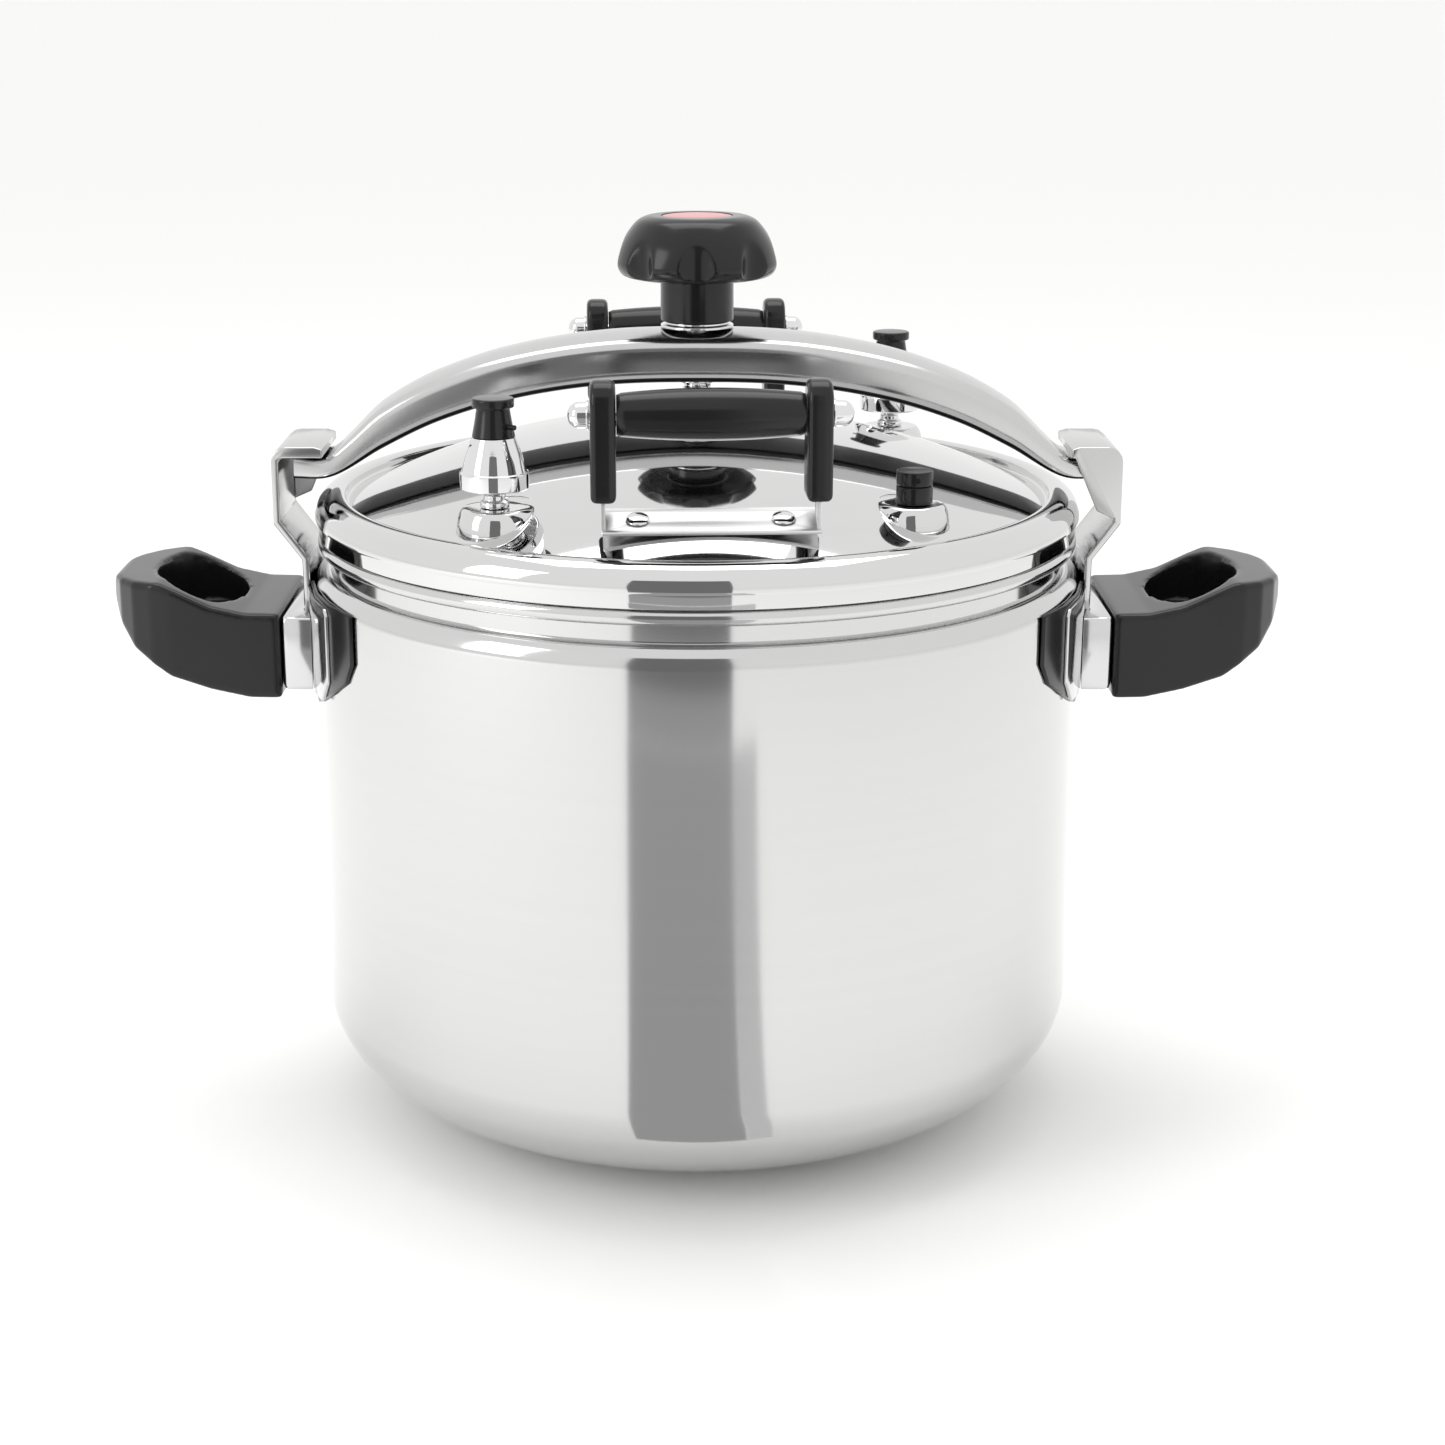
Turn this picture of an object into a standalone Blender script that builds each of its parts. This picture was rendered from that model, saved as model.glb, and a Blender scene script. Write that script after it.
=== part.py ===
"""A stove-top pressure canner: a deep steel pot with two side handles and two fixed clamp hooks, a domed lid
with two lid handles, two weighted regulators and a safety valve, and a turning bow whose screw holds the lid
down. Metres, +Z up, the origin under the middle of the pot. The front faces -Y."""

import math

import bmesh
import bpy
from mathutils import Matrix

# Clearances
FIT_GAP = 0.0003
RUNNING_GAP = 0.0002
AXIS_RADIUS = 1e-6
ROUND_SEGMENTS = 44

# Pot
POT_RADIUS = 0.1895
POT_HEIGHT = 0.297
POT_WALL = 0.0025
POT_FLOOR = 0.005
BASE_CORNER_REACH = 0.115
BASE_CORNER_HEIGHT = 0.062
NECK_DEPTH = 0.0085
NECK_HEIGHT = 0.008
BEAD_HEIGHT = 0.0075
BEAD_INSET = 0.002
SHOULDER_HEIGHT = 0.011

# Lid
LID_RADIUS = POT_RADIUS - 0.001
LID_WALL = 0.0025
LID_SKIRT_HEIGHT = 0.0075
LID_ROLL_HEIGHT = 0.0123
LID_ROLL_WIDTH = 0.0145
LID_DOME_RISE = 0.040
LID_SKIRT_WALL = 0.0014
LID_ROLL_REACH = 0.011
LID_ROLL_TUCK = 0.0012
GASKET_HEIGHT = 0.0046
GASKET_WIDTH = 0.0062
LID_CLOCKING = math.radians(2.5)

# Lid handles
HANDLE_RING_RADIUS = LID_RADIUS - 0.0475
BRACKET_RING_RADIUS = LID_RADIUS - 0.049
BRACKET_WIDTH = 0.098
BRACKET_DEPTH = 0.021
BRACKET_SHEET = 0.002
EAR_DEPTH = 0.014
CHEEK_INSET = 0.00125
CHEEK_SPACING = BRACKET_WIDTH - 2 * CHEEK_INSET
CHEEK_THICKNESS = 0.0115
CHEEK_DEPTH = 0.022
CHEEK_TOP = 0.0396
CHEEK_BOTTOM = 0.0143
CHEEK_ROD_DROP = 0.0157
BAR_END_RADIUS = 0.0095
BAR_MIDDLE_RADIUS = 0.0117
ROD_RADIUS = 0.0025
CAP_NUT_RADIUS = 0.0058
CAP_NUT_LENGTH = 0.0095
RIVET_INSET = 0.01525
RIVET_SPACING = CHEEK_SPACING - 2 * RIVET_INSET
RIVET_HEAD_RADIUS = 0.0054
RIVET_HEAD_HEIGHT = 0.0018
RIVET_SHANK_RADIUS = 0.0025

# Regulators and safety valve
REGULATOR_RING_RADIUS = LID_RADIUS - 0.042
FRONT_REGULATOR_ANGLE = math.radians(-41.3)
REAR_REGULATOR_ANGLE = math.radians(133.1)
VALVE_RING_RADIUS = LID_RADIUS - 0.0428
VALVE_ANGLE = math.radians(40.4)
REGULATOR_BOSS_RADIUS = 0.0178
VALVE_BOSS_RADIUS = 0.0164
BOSS_STAND_OUT = 0.0052
BOSS_TAPER = 0.93
BOSS_LEAST_EDGE = 0.0002
STUD_RADIUS = 0.004
STUD_LENGTH = 0.0175
VENT_BORE_RADIUS = 0.0012
VENT_PIPE_RADIUS = 0.0032
VENT_BASE_RADIUS = 0.0066
VENT_BASE_HEIGHT = 0.0058
VENT_PIPE_HEIGHT = 0.0225
NUT_RADIUS = 0.0078
NUT_HEIGHT = 0.0048
WEIGHT_LIFT = 0.0087
WEIGHT_RADIUS = 0.0158
WEIGHT_BAND_HEIGHT = 0.0078
WEIGHT_HEIGHT = 0.0236
WEIGHT_TOP_RADIUS = 0.0098
WEIGHT_BULGE = 0.0008
GRIP_NECK_RADIUS = 0.0075
GRIP_NECK_HEIGHT = 0.0130
GRIP_DISC_RADIUS = 0.0096
GRIP_DISC_HEIGHT = 0.0045
GRIP_PIN_RADIUS = 0.0012
GRIP_PIN_LENGTH = 0.0075
VALVE_RADIUS = 0.0084
VALVE_BODY_HEIGHT = 0.0081
VALVE_CAP_HEIGHT = 0.0067
VALVE_CHAMBER_RADIUS = 0.0060
VALVE_CHAMBER_DEPTH = 0.0058
VALVE_CAP_CHAMBER = 0.0045
VALVE_HOLE_RADIUS = 0.0013
PLUNGER_HEIGHT = 0.003
SPRING_WIRE_RADIUS = 0.0005
SPRING_RADIUS = 0.0044
SPRING_TURNS = 3.5

# Bow and screw
BOW_HALF_SPAN = LID_RADIUS + 0.0085
BOW_HALF_WIDTH = 0.023
BOW_END_HALF_WIDTH = 0.020
BOW_UNDERSIDE_LIFT = 0.0188
BOW_THICKNESS = 0.0245
BOW_END_THICKNESS = 0.0105
BOW_END_LIFT = 0.0055
BOW_EDGE_RADIUS = 0.0065
BOW_CROWN = 0.0025
# (share of the half span, share of the change from the end to the middle)
BOW_UNDERSIDE_SHARES = [(0.0, 1.0), (0.24, 0.965), (0.46, 0.82), (0.64, 0.59)]
BOW_UNDERSIDE_SHARES += [(0.78, 0.31), (0.88, 0.065), (0.93, 0.0), (1.0, 0.0)]
BOW_THICKNESS_SHARES = [(0.0, 1.0), (0.35, 0.98), (0.6, 0.93), (0.78, 0.80)]
BOW_THICKNESS_SHARES += [(0.87, 0.36), (0.925, 0.0), (1.0, 0.0)]
BUSH_RADIUS = 0.0088
BUSH_LOWER_FLANGE_RADIUS = 0.0107
BUSH_UPPER_FLANGE_RADIUS = 0.0178
BUSH_FLANGE_HEIGHT = 0.0014
SPINDLE_RADIUS = 0.007
SPINDLE_COLLAR_RADIUS = 0.016
SPINDLE_COLLAR_HEIGHT = 0.0013
SPINDLE_NECK_RADIUS = 0.0045
SPINDLE_BALL_RADIUS = 0.0064
SPINDLE_BALL_HEIGHT = 0.003
FOOT_RADIUS = 0.0105
FOOT_HEIGHT = 0.007
FOOT_FLOOR = 0.0018
SEAT_RADIUS = 0.014
SEAT_HEIGHT = 0.002

# Knob
KNOB_NECK_RADIUS = 0.0178
KNOB_NECK_HEIGHT = 0.0205
KNOB_HEAD_RADIUS = 0.0398
KNOB_HEAD_HEIGHT = 0.0300
KNOB_TOP_RADIUS = 0.0285
KNOB_SCALLOPS = 8
KNOB_SCALLOP_DEPTH = 0.0043
KNOB_SCALLOP_RADIUS = 0.012
KNOB_SOCKET_DEPTH = 0.014
BADGE_RADIUS = 0.017
BADGE_HEIGHT = 0.0012

# Clamp hooks
HOOK_SHEET = 0.0035
HOOK_HALF_WIDTH = 0.027
HOOK_KNEE_DROP = 0.012
HOOK_KNEE_RISE = 0.018
HOOK_BOW_CLEARANCE = 0.0065
HOOK_LIP_REACH = 0.015
HOOK_LIP_GAP = 0.0011
HOOK_LIP_SHEET = 0.0055
HOOK_BEND_EASE = 0.0012
HOOK_ROOT_DROP = 0.034
HOOK_FLANGE_SHEET = 0.003

# Side handles
SIDE_HANDLE_TOP_DROP = 0.037
SIDE_HANDLE_HEIGHT = 0.0425
SIDE_HANDLE_LENGTH = 0.0871
SIDE_HANDLE_HALF_WIDTH = 0.045
SIDE_HANDLE_HUMP = 0.0158
SIDE_HANDLE_EDGE = 0.0032
POCKET_FLOOR_DROP = 0.012
POCKET_HALF_WIDTH = 0.037
POCKET_START = 0.0227
POCKET_LENGTH = 0.0427
GUARD_THICKNESS = 0.0016
GUARD_HALF_STEPS = 4
GUARD_TOP_RISE = 0.0135
GUARD_HEIGHT = 0.055
BAND_THICKNESS = 0.0014
BAND_HALF_STEPS = 3
BAND_TOP_RISE = 0.011
BAND_FOOT_RISE = 0.006
BAND_CORNER = 0.012
FERRULE_LENGTH = 0.0094
FERRULE_INSET = 0.002
FERRULE_FOOT_RISE = 0.004
FERRULE_TOP_DROP = 0.001
FERRULE_EDGE = 0.003
TANG_LENGTH = 0.022
TANG_OVERLAP = 0.003
TANG_HALF_WIDTH = 0.012
TANG_HEIGHT = 0.009
TANG_DROP = 0.0165
HANDLE_SCREW_RADIUS = 0.0022
HANDLE_SCREW_HEAD_RADIUS = 0.0044
HANDLE_SCREW_HEAD_HEIGHT = 0.0025
HANDLE_SCREW_SINK = 0.006
HANDLE_SCREW_BITE = 0.005
CUTTER_REACH = 0.02
# (share of the half width, share of the height down from the top)
GUARD_SHARES = [(0.5, 1.0), (0.60, 0.93), (0.76, 0.80), (0.93, 0.62), (1.0, 0.42), (1.0, 0.0)]
# (share of the handle's length, rise above its base)
HANDLE_BELLY = [(0.18, 0.0008), (0.40, 0.005), (0.62, 0.0115), (0.84, 0.0245), (0.945, 0.036), (1.015, 0.050)]
# (share of the handle's length, share of the hump)
HANDLE_BACK = [(0.96, 0.95), (0.67, 1.0), (0.565, 0.75), (0.386, 0.28), (0.2, 0.05)]

# Levels that follow from the sizes above
LID_SEAT_Z = POT_HEIGHT + FIT_GAP
LID_SKIRT_TOP_Z = LID_SEAT_Z + LID_SKIRT_HEIGHT
LID_RIM_TOP_Z = LID_SKIRT_TOP_Z + LID_ROLL_HEIGHT
DOME_EDGE_RADIUS = LID_RADIUS - LID_ROLL_WIDTH - LID_WALL * 0.5
DOME_EDGE_Z = LID_RIM_TOP_Z - LID_WALL * 2.4
DOME_RADIUS = (DOME_EDGE_RADIUS**2 + LID_DOME_RISE**2) / (2 * LID_DOME_RISE)
DOME_CENTRE_Z = DOME_EDGE_Z + LID_DOME_RISE - DOME_RADIUS
LID_APEX_Z = DOME_EDGE_Z + LID_DOME_RISE
HANDLE_ROD_Z = LID_APEX_Z + CHEEK_TOP - CHEEK_ROD_DROP
BOW_UNDERSIDE_Z = LID_APEX_Z + BOW_UNDERSIDE_LIFT
BOW_TOP_Z = BOW_UNDERSIDE_Z + BOW_THICKNESS
BOW_END_UNDER_Z = LID_RIM_TOP_Z + BOW_END_LIFT
BOW_END_TOP_Z = BOW_END_UNDER_Z + BOW_END_THICKNESS
SEAT_TOP_Z = LID_APEX_Z + FIT_GAP + SEAT_HEIGHT
FOOT_BASE_Z = SEAT_TOP_Z + FIT_GAP
FOOT_TOP_Z = FOOT_BASE_Z + FOOT_HEIGHT
KNOB_BASE_Z = BOW_TOP_Z + 3 * FIT_GAP + BUSH_FLANGE_HEIGHT + SPINDLE_COLLAR_HEIGHT
GUARD_INNER_RADIUS = POT_RADIUS + 2 * FIT_GAP
GUARD_OUTER_RADIUS = GUARD_INNER_RADIUS + GUARD_THICKNESS
BAND_INNER_RADIUS = GUARD_OUTER_RADIUS + FIT_GAP
BAND_OUTER_RADIUS = BAND_INNER_RADIUS + BAND_THICKNESS
FERRULE_X = BAND_OUTER_RADIUS + FIT_GAP
FERRULE_END_X = FERRULE_X + FERRULE_LENGTH
SIDE_HANDLE_X = FERRULE_END_X + FIT_GAP
HOOK_ROOT_X = POT_RADIUS + 2 * FIT_GAP
HOOK_PLATE_X = BOW_HALF_SPAN + HOOK_BOW_CLEARANCE
SIDE_HANDLE_TOP_Z = POT_HEIGHT - SIDE_HANDLE_TOP_DROP
SIDE_HANDLE_BASE_Z = SIDE_HANDLE_TOP_Z - SIDE_HANDLE_HEIGHT
HOOK_BASE_Z = SIDE_HANDLE_TOP_Z - HOOK_ROOT_DROP
TANG_TOP_Z = SIDE_HANDLE_TOP_Z - TANG_DROP
TANG_BASE_Z = TANG_TOP_Z - TANG_HEIGHT
HANDLE_SCREW_X = SIDE_HANDLE_X + TANG_LENGTH * 0.55
HANDLE_SCREW_SEAT_Z = SIDE_HANDLE_BASE_Z + HANDLE_SCREW_SINK


def clear_scene():
    for leftover in list(bpy.data.objects):
        bpy.data.objects.remove(leftover, do_unlink=True)


def material(name, colour, roughness, metallic):
    made = bpy.data.materials.get(name) or bpy.data.materials.new(name)
    made.use_nodes = True
    shader = made.node_tree.nodes["Principled BSDF"]
    shader.inputs["Base Color"].default_value = (*colour, 1.0)
    shader.inputs["Roughness"].default_value = roughness
    shader.inputs["Metallic"].default_value = metallic
    return made


def polished_steel():
    return material("polished_steel", (0.80, 0.80, 0.81), 0.08, 1.0)


def brushed_steel():
    return material("brushed_steel", (0.66, 0.66, 0.67), 0.28, 1.0)


def chrome():
    return material("chrome", (0.86, 0.86, 0.87), 0.05, 1.0)


def bakelite():
    return material("bakelite", (0.018, 0.018, 0.019), 0.30, 0.0)


def rubber():
    return material("rubber", (0.45, 0.45, 0.44), 0.70, 0.0)


def red_enamel():
    return material("red_enamel", (0.55, 0.03, 0.04), 0.30, 0.0)


def new_object(name, bm, finish):
    """Turns a bmesh into a named object whose faces all point out."""
    bmesh.ops.recalc_face_normals(bm, faces=bm.faces)
    mesh = bpy.data.meshes.new(name)
    bm.to_mesh(mesh)
    bm.free()
    made = bpy.data.objects.new(name, mesh)
    bpy.context.scene.collection.objects.link(made)
    if finish:
        mesh.materials.append(finish)
    return made


def shade_round(made):
    made.data.shade_smooth()
    made.data.set_sharp_from_angle(angle=math.radians(35))


def lathe(name, profile, finish, segments=20, radius_at=None):
    """Turns (radius, z) points about Z. An outline whose ends are off the axis closes on itself."""
    bm = bmesh.new()
    rings = []
    for radius, z in profile:
        ring = []
        for step in range(1 if radius < AXIS_RADIUS else segments):
            angle = 2 * math.pi * step / segments
            reach = radius_at(radius, z, angle) if radius_at else radius
            ring.append(bm.verts.new((reach * math.cos(angle), reach * math.sin(angle), z)))
        rings.append(ring)
    pairs = list(zip(rings, rings[1:]))
    if len(rings[0]) > 1 and len(rings[-1]) > 1:
        pairs.append((rings[-1], rings[0]))
    for first, second in pairs:
        for step in range(segments):
            after = (step + 1) % segments
            corners = [first[step % len(first)], first[after % len(first)]]
            corners += [second[after % len(second)], second[step % len(second)]]
            corners = list(dict.fromkeys(corners))
            if len(corners) > 2:
                bm.faces.new(corners)
    made = new_object(name, bm, finish)
    shade_round(made)
    return made


def prism(name, outline, axis, low, high, finish):
    """Extrudes an outline along X (points are y, z), Y (points are x, z) or Z (points are x, y)."""
    bm = bmesh.new()
    places = {
        "X": lambda a, b, along: (along, a, b),
        "Y": lambda a, b, along: (a, along, b),
        "Z": lambda a, b, along: (a, b, along),
    }
    ends = [[bm.verts.new(places[axis](a, b, along)) for a, b in outline] for along in (low, high)]
    for end in ends:
        bm.faces.new(end)
    count = len(outline)
    for i in range(count):
        after = (i + 1) % count
        bm.faces.new([ends[0][i], ends[0][after], ends[1][after], ends[1][i]])
    return new_object(name, bm, finish)


def box(name, low, high, finish):
    corners = [(low[0], low[1]), (high[0], low[1]), (high[0], high[1]), (low[0], high[1])]
    return prism(name, corners, "Z", low[2], high[2], finish)


def rod_along_x(name, radius, low, high, centre_y, centre_z, segments=12):
    outline = []
    for step in range(segments):
        angle = 2 * math.pi * step / segments
        outline.append((centre_y + radius * math.cos(angle), centre_z + radius * math.sin(angle)))
    return prism(name, outline, "X", low, high, None)


def settle(made):
    """Keeps the shape that the modifiers give and removes them."""
    graph = bpy.context.evaluated_depsgraph_get()
    shaped = bpy.data.meshes.new_from_object(made.evaluated_get(graph))
    made.modifiers.clear()
    made.data = shaped


def soften(made, width, segments=2, angle=math.radians(40)):
    bevel = made.modifiers.new("soften", "BEVEL")
    bevel.width = width
    bevel.segments = segments
    bevel.limit_method = "ANGLE"
    bevel.angle_limit = angle
    settle(made)


def combine(made, tool, operation):
    """Cuts, joins or intersects with a tool, which is used up."""
    step = made.modifiers.new(operation.lower(), "BOOLEAN")
    step.operation = operation
    step.solver = "EXACT"
    step.object = tool
    bpy.context.view_layer.update()
    settle(made)
    bpy.data.objects.remove(tool, do_unlink=True)


def move_mesh(made, matrix):
    made.data.transform(matrix)
    return made


def joint_axis(name, x=0.0, y=0.0, z=0.0, turn=0.0, parent=None):
    empty = bpy.data.objects.new(name, None)
    bpy.context.scene.collection.objects.link(empty)
    empty.location = (x, y, z)
    empty.rotation_euler = (0.0, 0.0, turn)
    empty.parent = parent
    return empty


def second_of(made, name, parent):
    """The other piece of a pair: it shares its mesh and hangs on its own parent."""
    other = bpy.data.objects.new(name, made.data)
    bpy.context.scene.collection.objects.link(other)
    other.parent = parent
    return other


def arc(centre_a, centre_b, reach_a, reach_b, start, end, steps):
    """Points on an elliptic arc, both ends included."""
    points = []
    for step in range(steps + 1):
        angle = math.radians(start + (end - start) * step / steps)
        points.append((centre_a + reach_a * math.cos(angle), centre_b + reach_b * math.sin(angle)))
    return points


def dome_z(radius, inset=0.0):
    return DOME_CENTRE_Z + math.sqrt((DOME_RADIUS - inset) ** 2 - radius**2)


def dome_points(inset, edge_radius, steps):
    radii = [edge_radius * step / steps for step in range(steps + 1)]
    return [(radius, dome_z(radius, inset)) for radius in radii]


def make_pot():
    neck_radius = POT_RADIUS - NECK_DEPTH
    neck_top = POT_HEIGHT - BEAD_HEIGHT
    neck_base = neck_top - NECK_HEIGHT
    bead_radius = POT_RADIUS - BEAD_INSET
    bead_half = BEAD_HEIGHT / 2
    corner_centre = POT_RADIUS - BASE_CORNER_REACH
    rim_inner = neck_radius - POT_WALL
    inner_corner = BASE_CORNER_HEIGHT - POT_FLOOR
    outside = [(0.0, 0.0)]
    outside += arc(corner_centre, BASE_CORNER_HEIGHT, BASE_CORNER_REACH, BASE_CORNER_HEIGHT, -90, 0, 6)
    outside += arc(neck_radius, neck_base - SHOULDER_HEIGHT, NECK_DEPTH, SHOULDER_HEIGHT, 0, 90, 3)
    outside += [(neck_radius, neck_top)]
    outside += arc(bead_radius - bead_half, neck_top + bead_half, bead_half, bead_half, -60, 90, 3)
    inside = [(rim_inner, POT_HEIGHT), (rim_inner, neck_base - POT_WALL)]
    inside += [(POT_RADIUS - POT_WALL, neck_base - SHOULDER_HEIGHT - POT_WALL)]
    reach = BASE_CORNER_REACH - POT_WALL
    inside += arc(corner_centre, BASE_CORNER_HEIGHT, reach, inner_corner, 0, -90, 5)
    inside += [(0.0, POT_FLOOR)]
    return lathe("pot", outside + inside, polished_steel(), ROUND_SEGMENTS)


def make_lid(clocked_lid):
    skirt_outer = LID_RADIUS - LID_SKIRT_WALL
    skirt_inner = skirt_outer - LID_SKIRT_WALL
    roll_inner = LID_RADIUS - LID_ROLL_WIDTH
    ceiling = LID_SEAT_Z + GASKET_HEIGHT + FIT_GAP
    gasket_inner = skirt_inner - 2 * FIT_GAP - GASKET_WIDTH
    profile = dome_points(0.0, DOME_EDGE_RADIUS, 6)
    profile += [(roll_inner, LID_RIM_TOP_Z - 0.0006)]
    roll_base = LID_SKIRT_TOP_Z + LID_ROLL_TUCK
    roll_height = LID_RIM_TOP_Z - roll_base
    profile += arc(LID_RADIUS - LID_ROLL_REACH, roll_base, LID_ROLL_REACH, roll_height, 90, 0, 4)
    profile += [(skirt_outer, LID_SKIRT_TOP_Z)]
    profile += [(skirt_outer, LID_SEAT_Z), (skirt_inner, LID_SEAT_Z), (skirt_inner, ceiling)]
    profile += [(gasket_inner, ceiling)]
    profile += list(reversed(dome_points(LID_WALL, DOME_EDGE_RADIUS - LID_WALL, 5)))
    lid = lathe("lid", profile, polished_steel(), ROUND_SEGMENTS)
    for angle, ring, radius in boss_places():
        boss = make_boss(angle, ring, radius)
        combine(lid, boss, "UNION")
    for angle, ring, _ in boss_places():
        outline = cylinder_profile(STUD_RADIUS + FIT_GAP, DOME_EDGE_Z - CUTTER_REACH, LID_APEX_Z)
        hole = lathe("stud_hole", outline, None, 12)
        move_mesh(hole, Matrix.Rotation(angle, 4, "Z") @ Matrix.Translation((0.0, -ring, 0.0)))
        combine(lid, hole, "DIFFERENCE")
    for turn in (0.0, math.pi):
        for side in (-1, 1):
            hole = move_mesh(rivet_hole(), Matrix.Rotation(turn, 4, "Z") @ rivet_place(side))
            combine(lid, hole, "DIFFERENCE")
    lid.data.materials.clear()
    lid.data.materials.append(polished_steel())
    shade_round(lid)
    lid.parent = clocked_lid


def cylinder_profile(radius, low, high):
    return [(0.0, low), (radius, low), (radius, high), (0.0, high)]


def rivet_hole():
    return lathe("rivet_hole", cylinder_profile(RIVET_SHANK_RADIUS + FIT_GAP, -0.008, 0.008), None, 12)


def boss_places():
    """(angle, ring radius, boss radius) of the two regulator bosses and the valve boss."""
    return [
        (FRONT_REGULATOR_ANGLE, REGULATOR_RING_RADIUS, REGULATOR_BOSS_RADIUS),
        (REAR_REGULATOR_ANGLE, REGULATOR_RING_RADIUS, REGULATOR_BOSS_RADIUS),
        (VALVE_ANGLE, VALVE_RING_RADIUS, VALVE_BOSS_RADIUS),
    ]


def boss_top(ring):
    return dome_z(ring) + BOSS_STAND_OUT


def make_boss(angle, ring, radius):
    """A round pad, level on top, whose foot ends inside the lid's sheet."""
    bm = bmesh.new()
    segments = 20
    top, bottom = [], []
    for step in range(segments):
        around = 2 * math.pi * step / segments
        x = radius * math.cos(around)
        y = radius * math.sin(around) - ring
        foot = min(dome_z(math.hypot(x, y), LID_WALL * 0.5), boss_top(ring) - BOSS_LEAST_EDGE)
        top.append(bm.verts.new((x * BOSS_TAPER, (y + ring) * BOSS_TAPER - ring, boss_top(ring))))
        bottom.append(bm.verts.new((x, y, foot)))
    peak = bm.verts.new((0.0, -ring, boss_top(ring)))
    root = bm.verts.new((0.0, -ring, dome_z(ring, LID_WALL * 0.5)))
    for step in range(segments):
        after = (step + 1) % segments
        bm.faces.new([top[step], top[after], bottom[after], bottom[step]])
        bm.faces.new([top[step], top[after], peak])
        bm.faces.new([bottom[step], bottom[after], root])
    boss = new_object("boss", bm, None)
    return move_mesh(boss, Matrix.Rotation(angle, 4, "Z"))


def make_gasket(clocked_lid):
    outer = LID_RADIUS - 2 * LID_SKIRT_WALL - FIT_GAP
    inner = outer - GASKET_WIDTH
    base = POT_HEIGHT + FIT_GAP
    top = base + GASKET_HEIGHT - FIT_GAP
    profile = [(inner, base), (outer, base), (outer, top), (inner, top)]
    lathe("lid_gasket", profile, rubber(), ROUND_SEGMENTS).parent = clocked_lid


def make_centre_seat(clocked_lid):
    base = LID_APEX_Z + FIT_GAP
    chamfer = SEAT_HEIGHT * 0.4
    profile = [(0.0, base), (SEAT_RADIUS, base), (SEAT_RADIUS, SEAT_TOP_Z - chamfer)]
    profile += [(SEAT_RADIUS - chamfer, SEAT_TOP_Z), (0.0, SEAT_TOP_Z)]
    lathe("centre_seat", profile, brushed_steel()).parent = clocked_lid


def bracket_tilt():
    return math.asin(BRACKET_RING_RADIUS / DOME_RADIUS)


def bracket_place():
    """Lies on the dome: its Z is the dome's normal and its X runs along the handle."""
    spot = Matrix.Translation((0.0, -BRACKET_RING_RADIUS, dome_z(BRACKET_RING_RADIUS)))
    return spot @ Matrix.Rotation(bracket_tilt(), 4, "X")


def rivet_place(side):
    return bracket_place() @ Matrix.Translation((side * RIVET_SPACING / 2, 0.0, 0.0))


def bracket_level(y):
    """The height of the bracket sheet's middle at a distance y from the pot's axis."""
    rise = (FIT_GAP + BRACKET_SHEET / 2) / math.cos(bracket_tilt())
    return dome_z(BRACKET_RING_RADIUS) + rise + (y + BRACKET_RING_RADIUS) * math.tan(bracket_tilt())


def make_bracket():
    half = BRACKET_WIDTH / 2
    low = (-half, -BRACKET_DEPTH / 2, FIT_GAP)
    plate = box("plate", low, (half, BRACKET_DEPTH / 2, FIT_GAP + BRACKET_SHEET), brushed_steel())
    soften(plate, 0.0006, 1)
    plate.name = "lid_handle_bracket_front"
    move_mesh(plate, bracket_place())
    near = -HANDLE_RING_RADIUS - EAR_DEPTH / 2
    far = -HANDLE_RING_RADIUS + EAR_DEPTH / 2
    ear_top = HANDLE_ROD_Z + EAR_DEPTH / 2
    for side in (-1, 1):
        outline = [(near, bracket_level(near)), (far, bracket_level(far)), (far, ear_top), (near, ear_top)]
        inner, outer = sorted((side * half, side * (half - BRACKET_SHEET)))
        combine(plate, prism("ear", outline, "X", inner, outer, None), "UNION")
        combine(plate, move_mesh(rivet_hole(), rivet_place(side)), "DIFFERENCE")
    combine(plate, rod_hole(), "DIFFERENCE")
    plate.data.materials.clear()
    plate.data.materials.append(brushed_steel())
    return plate


def rod_hole():
    reach = BRACKET_WIDTH
    return rod_along_x("rod_hole", ROD_RADIUS + FIT_GAP, -reach, reach, -HANDLE_RING_RADIUS, HANDLE_ROD_Z)


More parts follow.
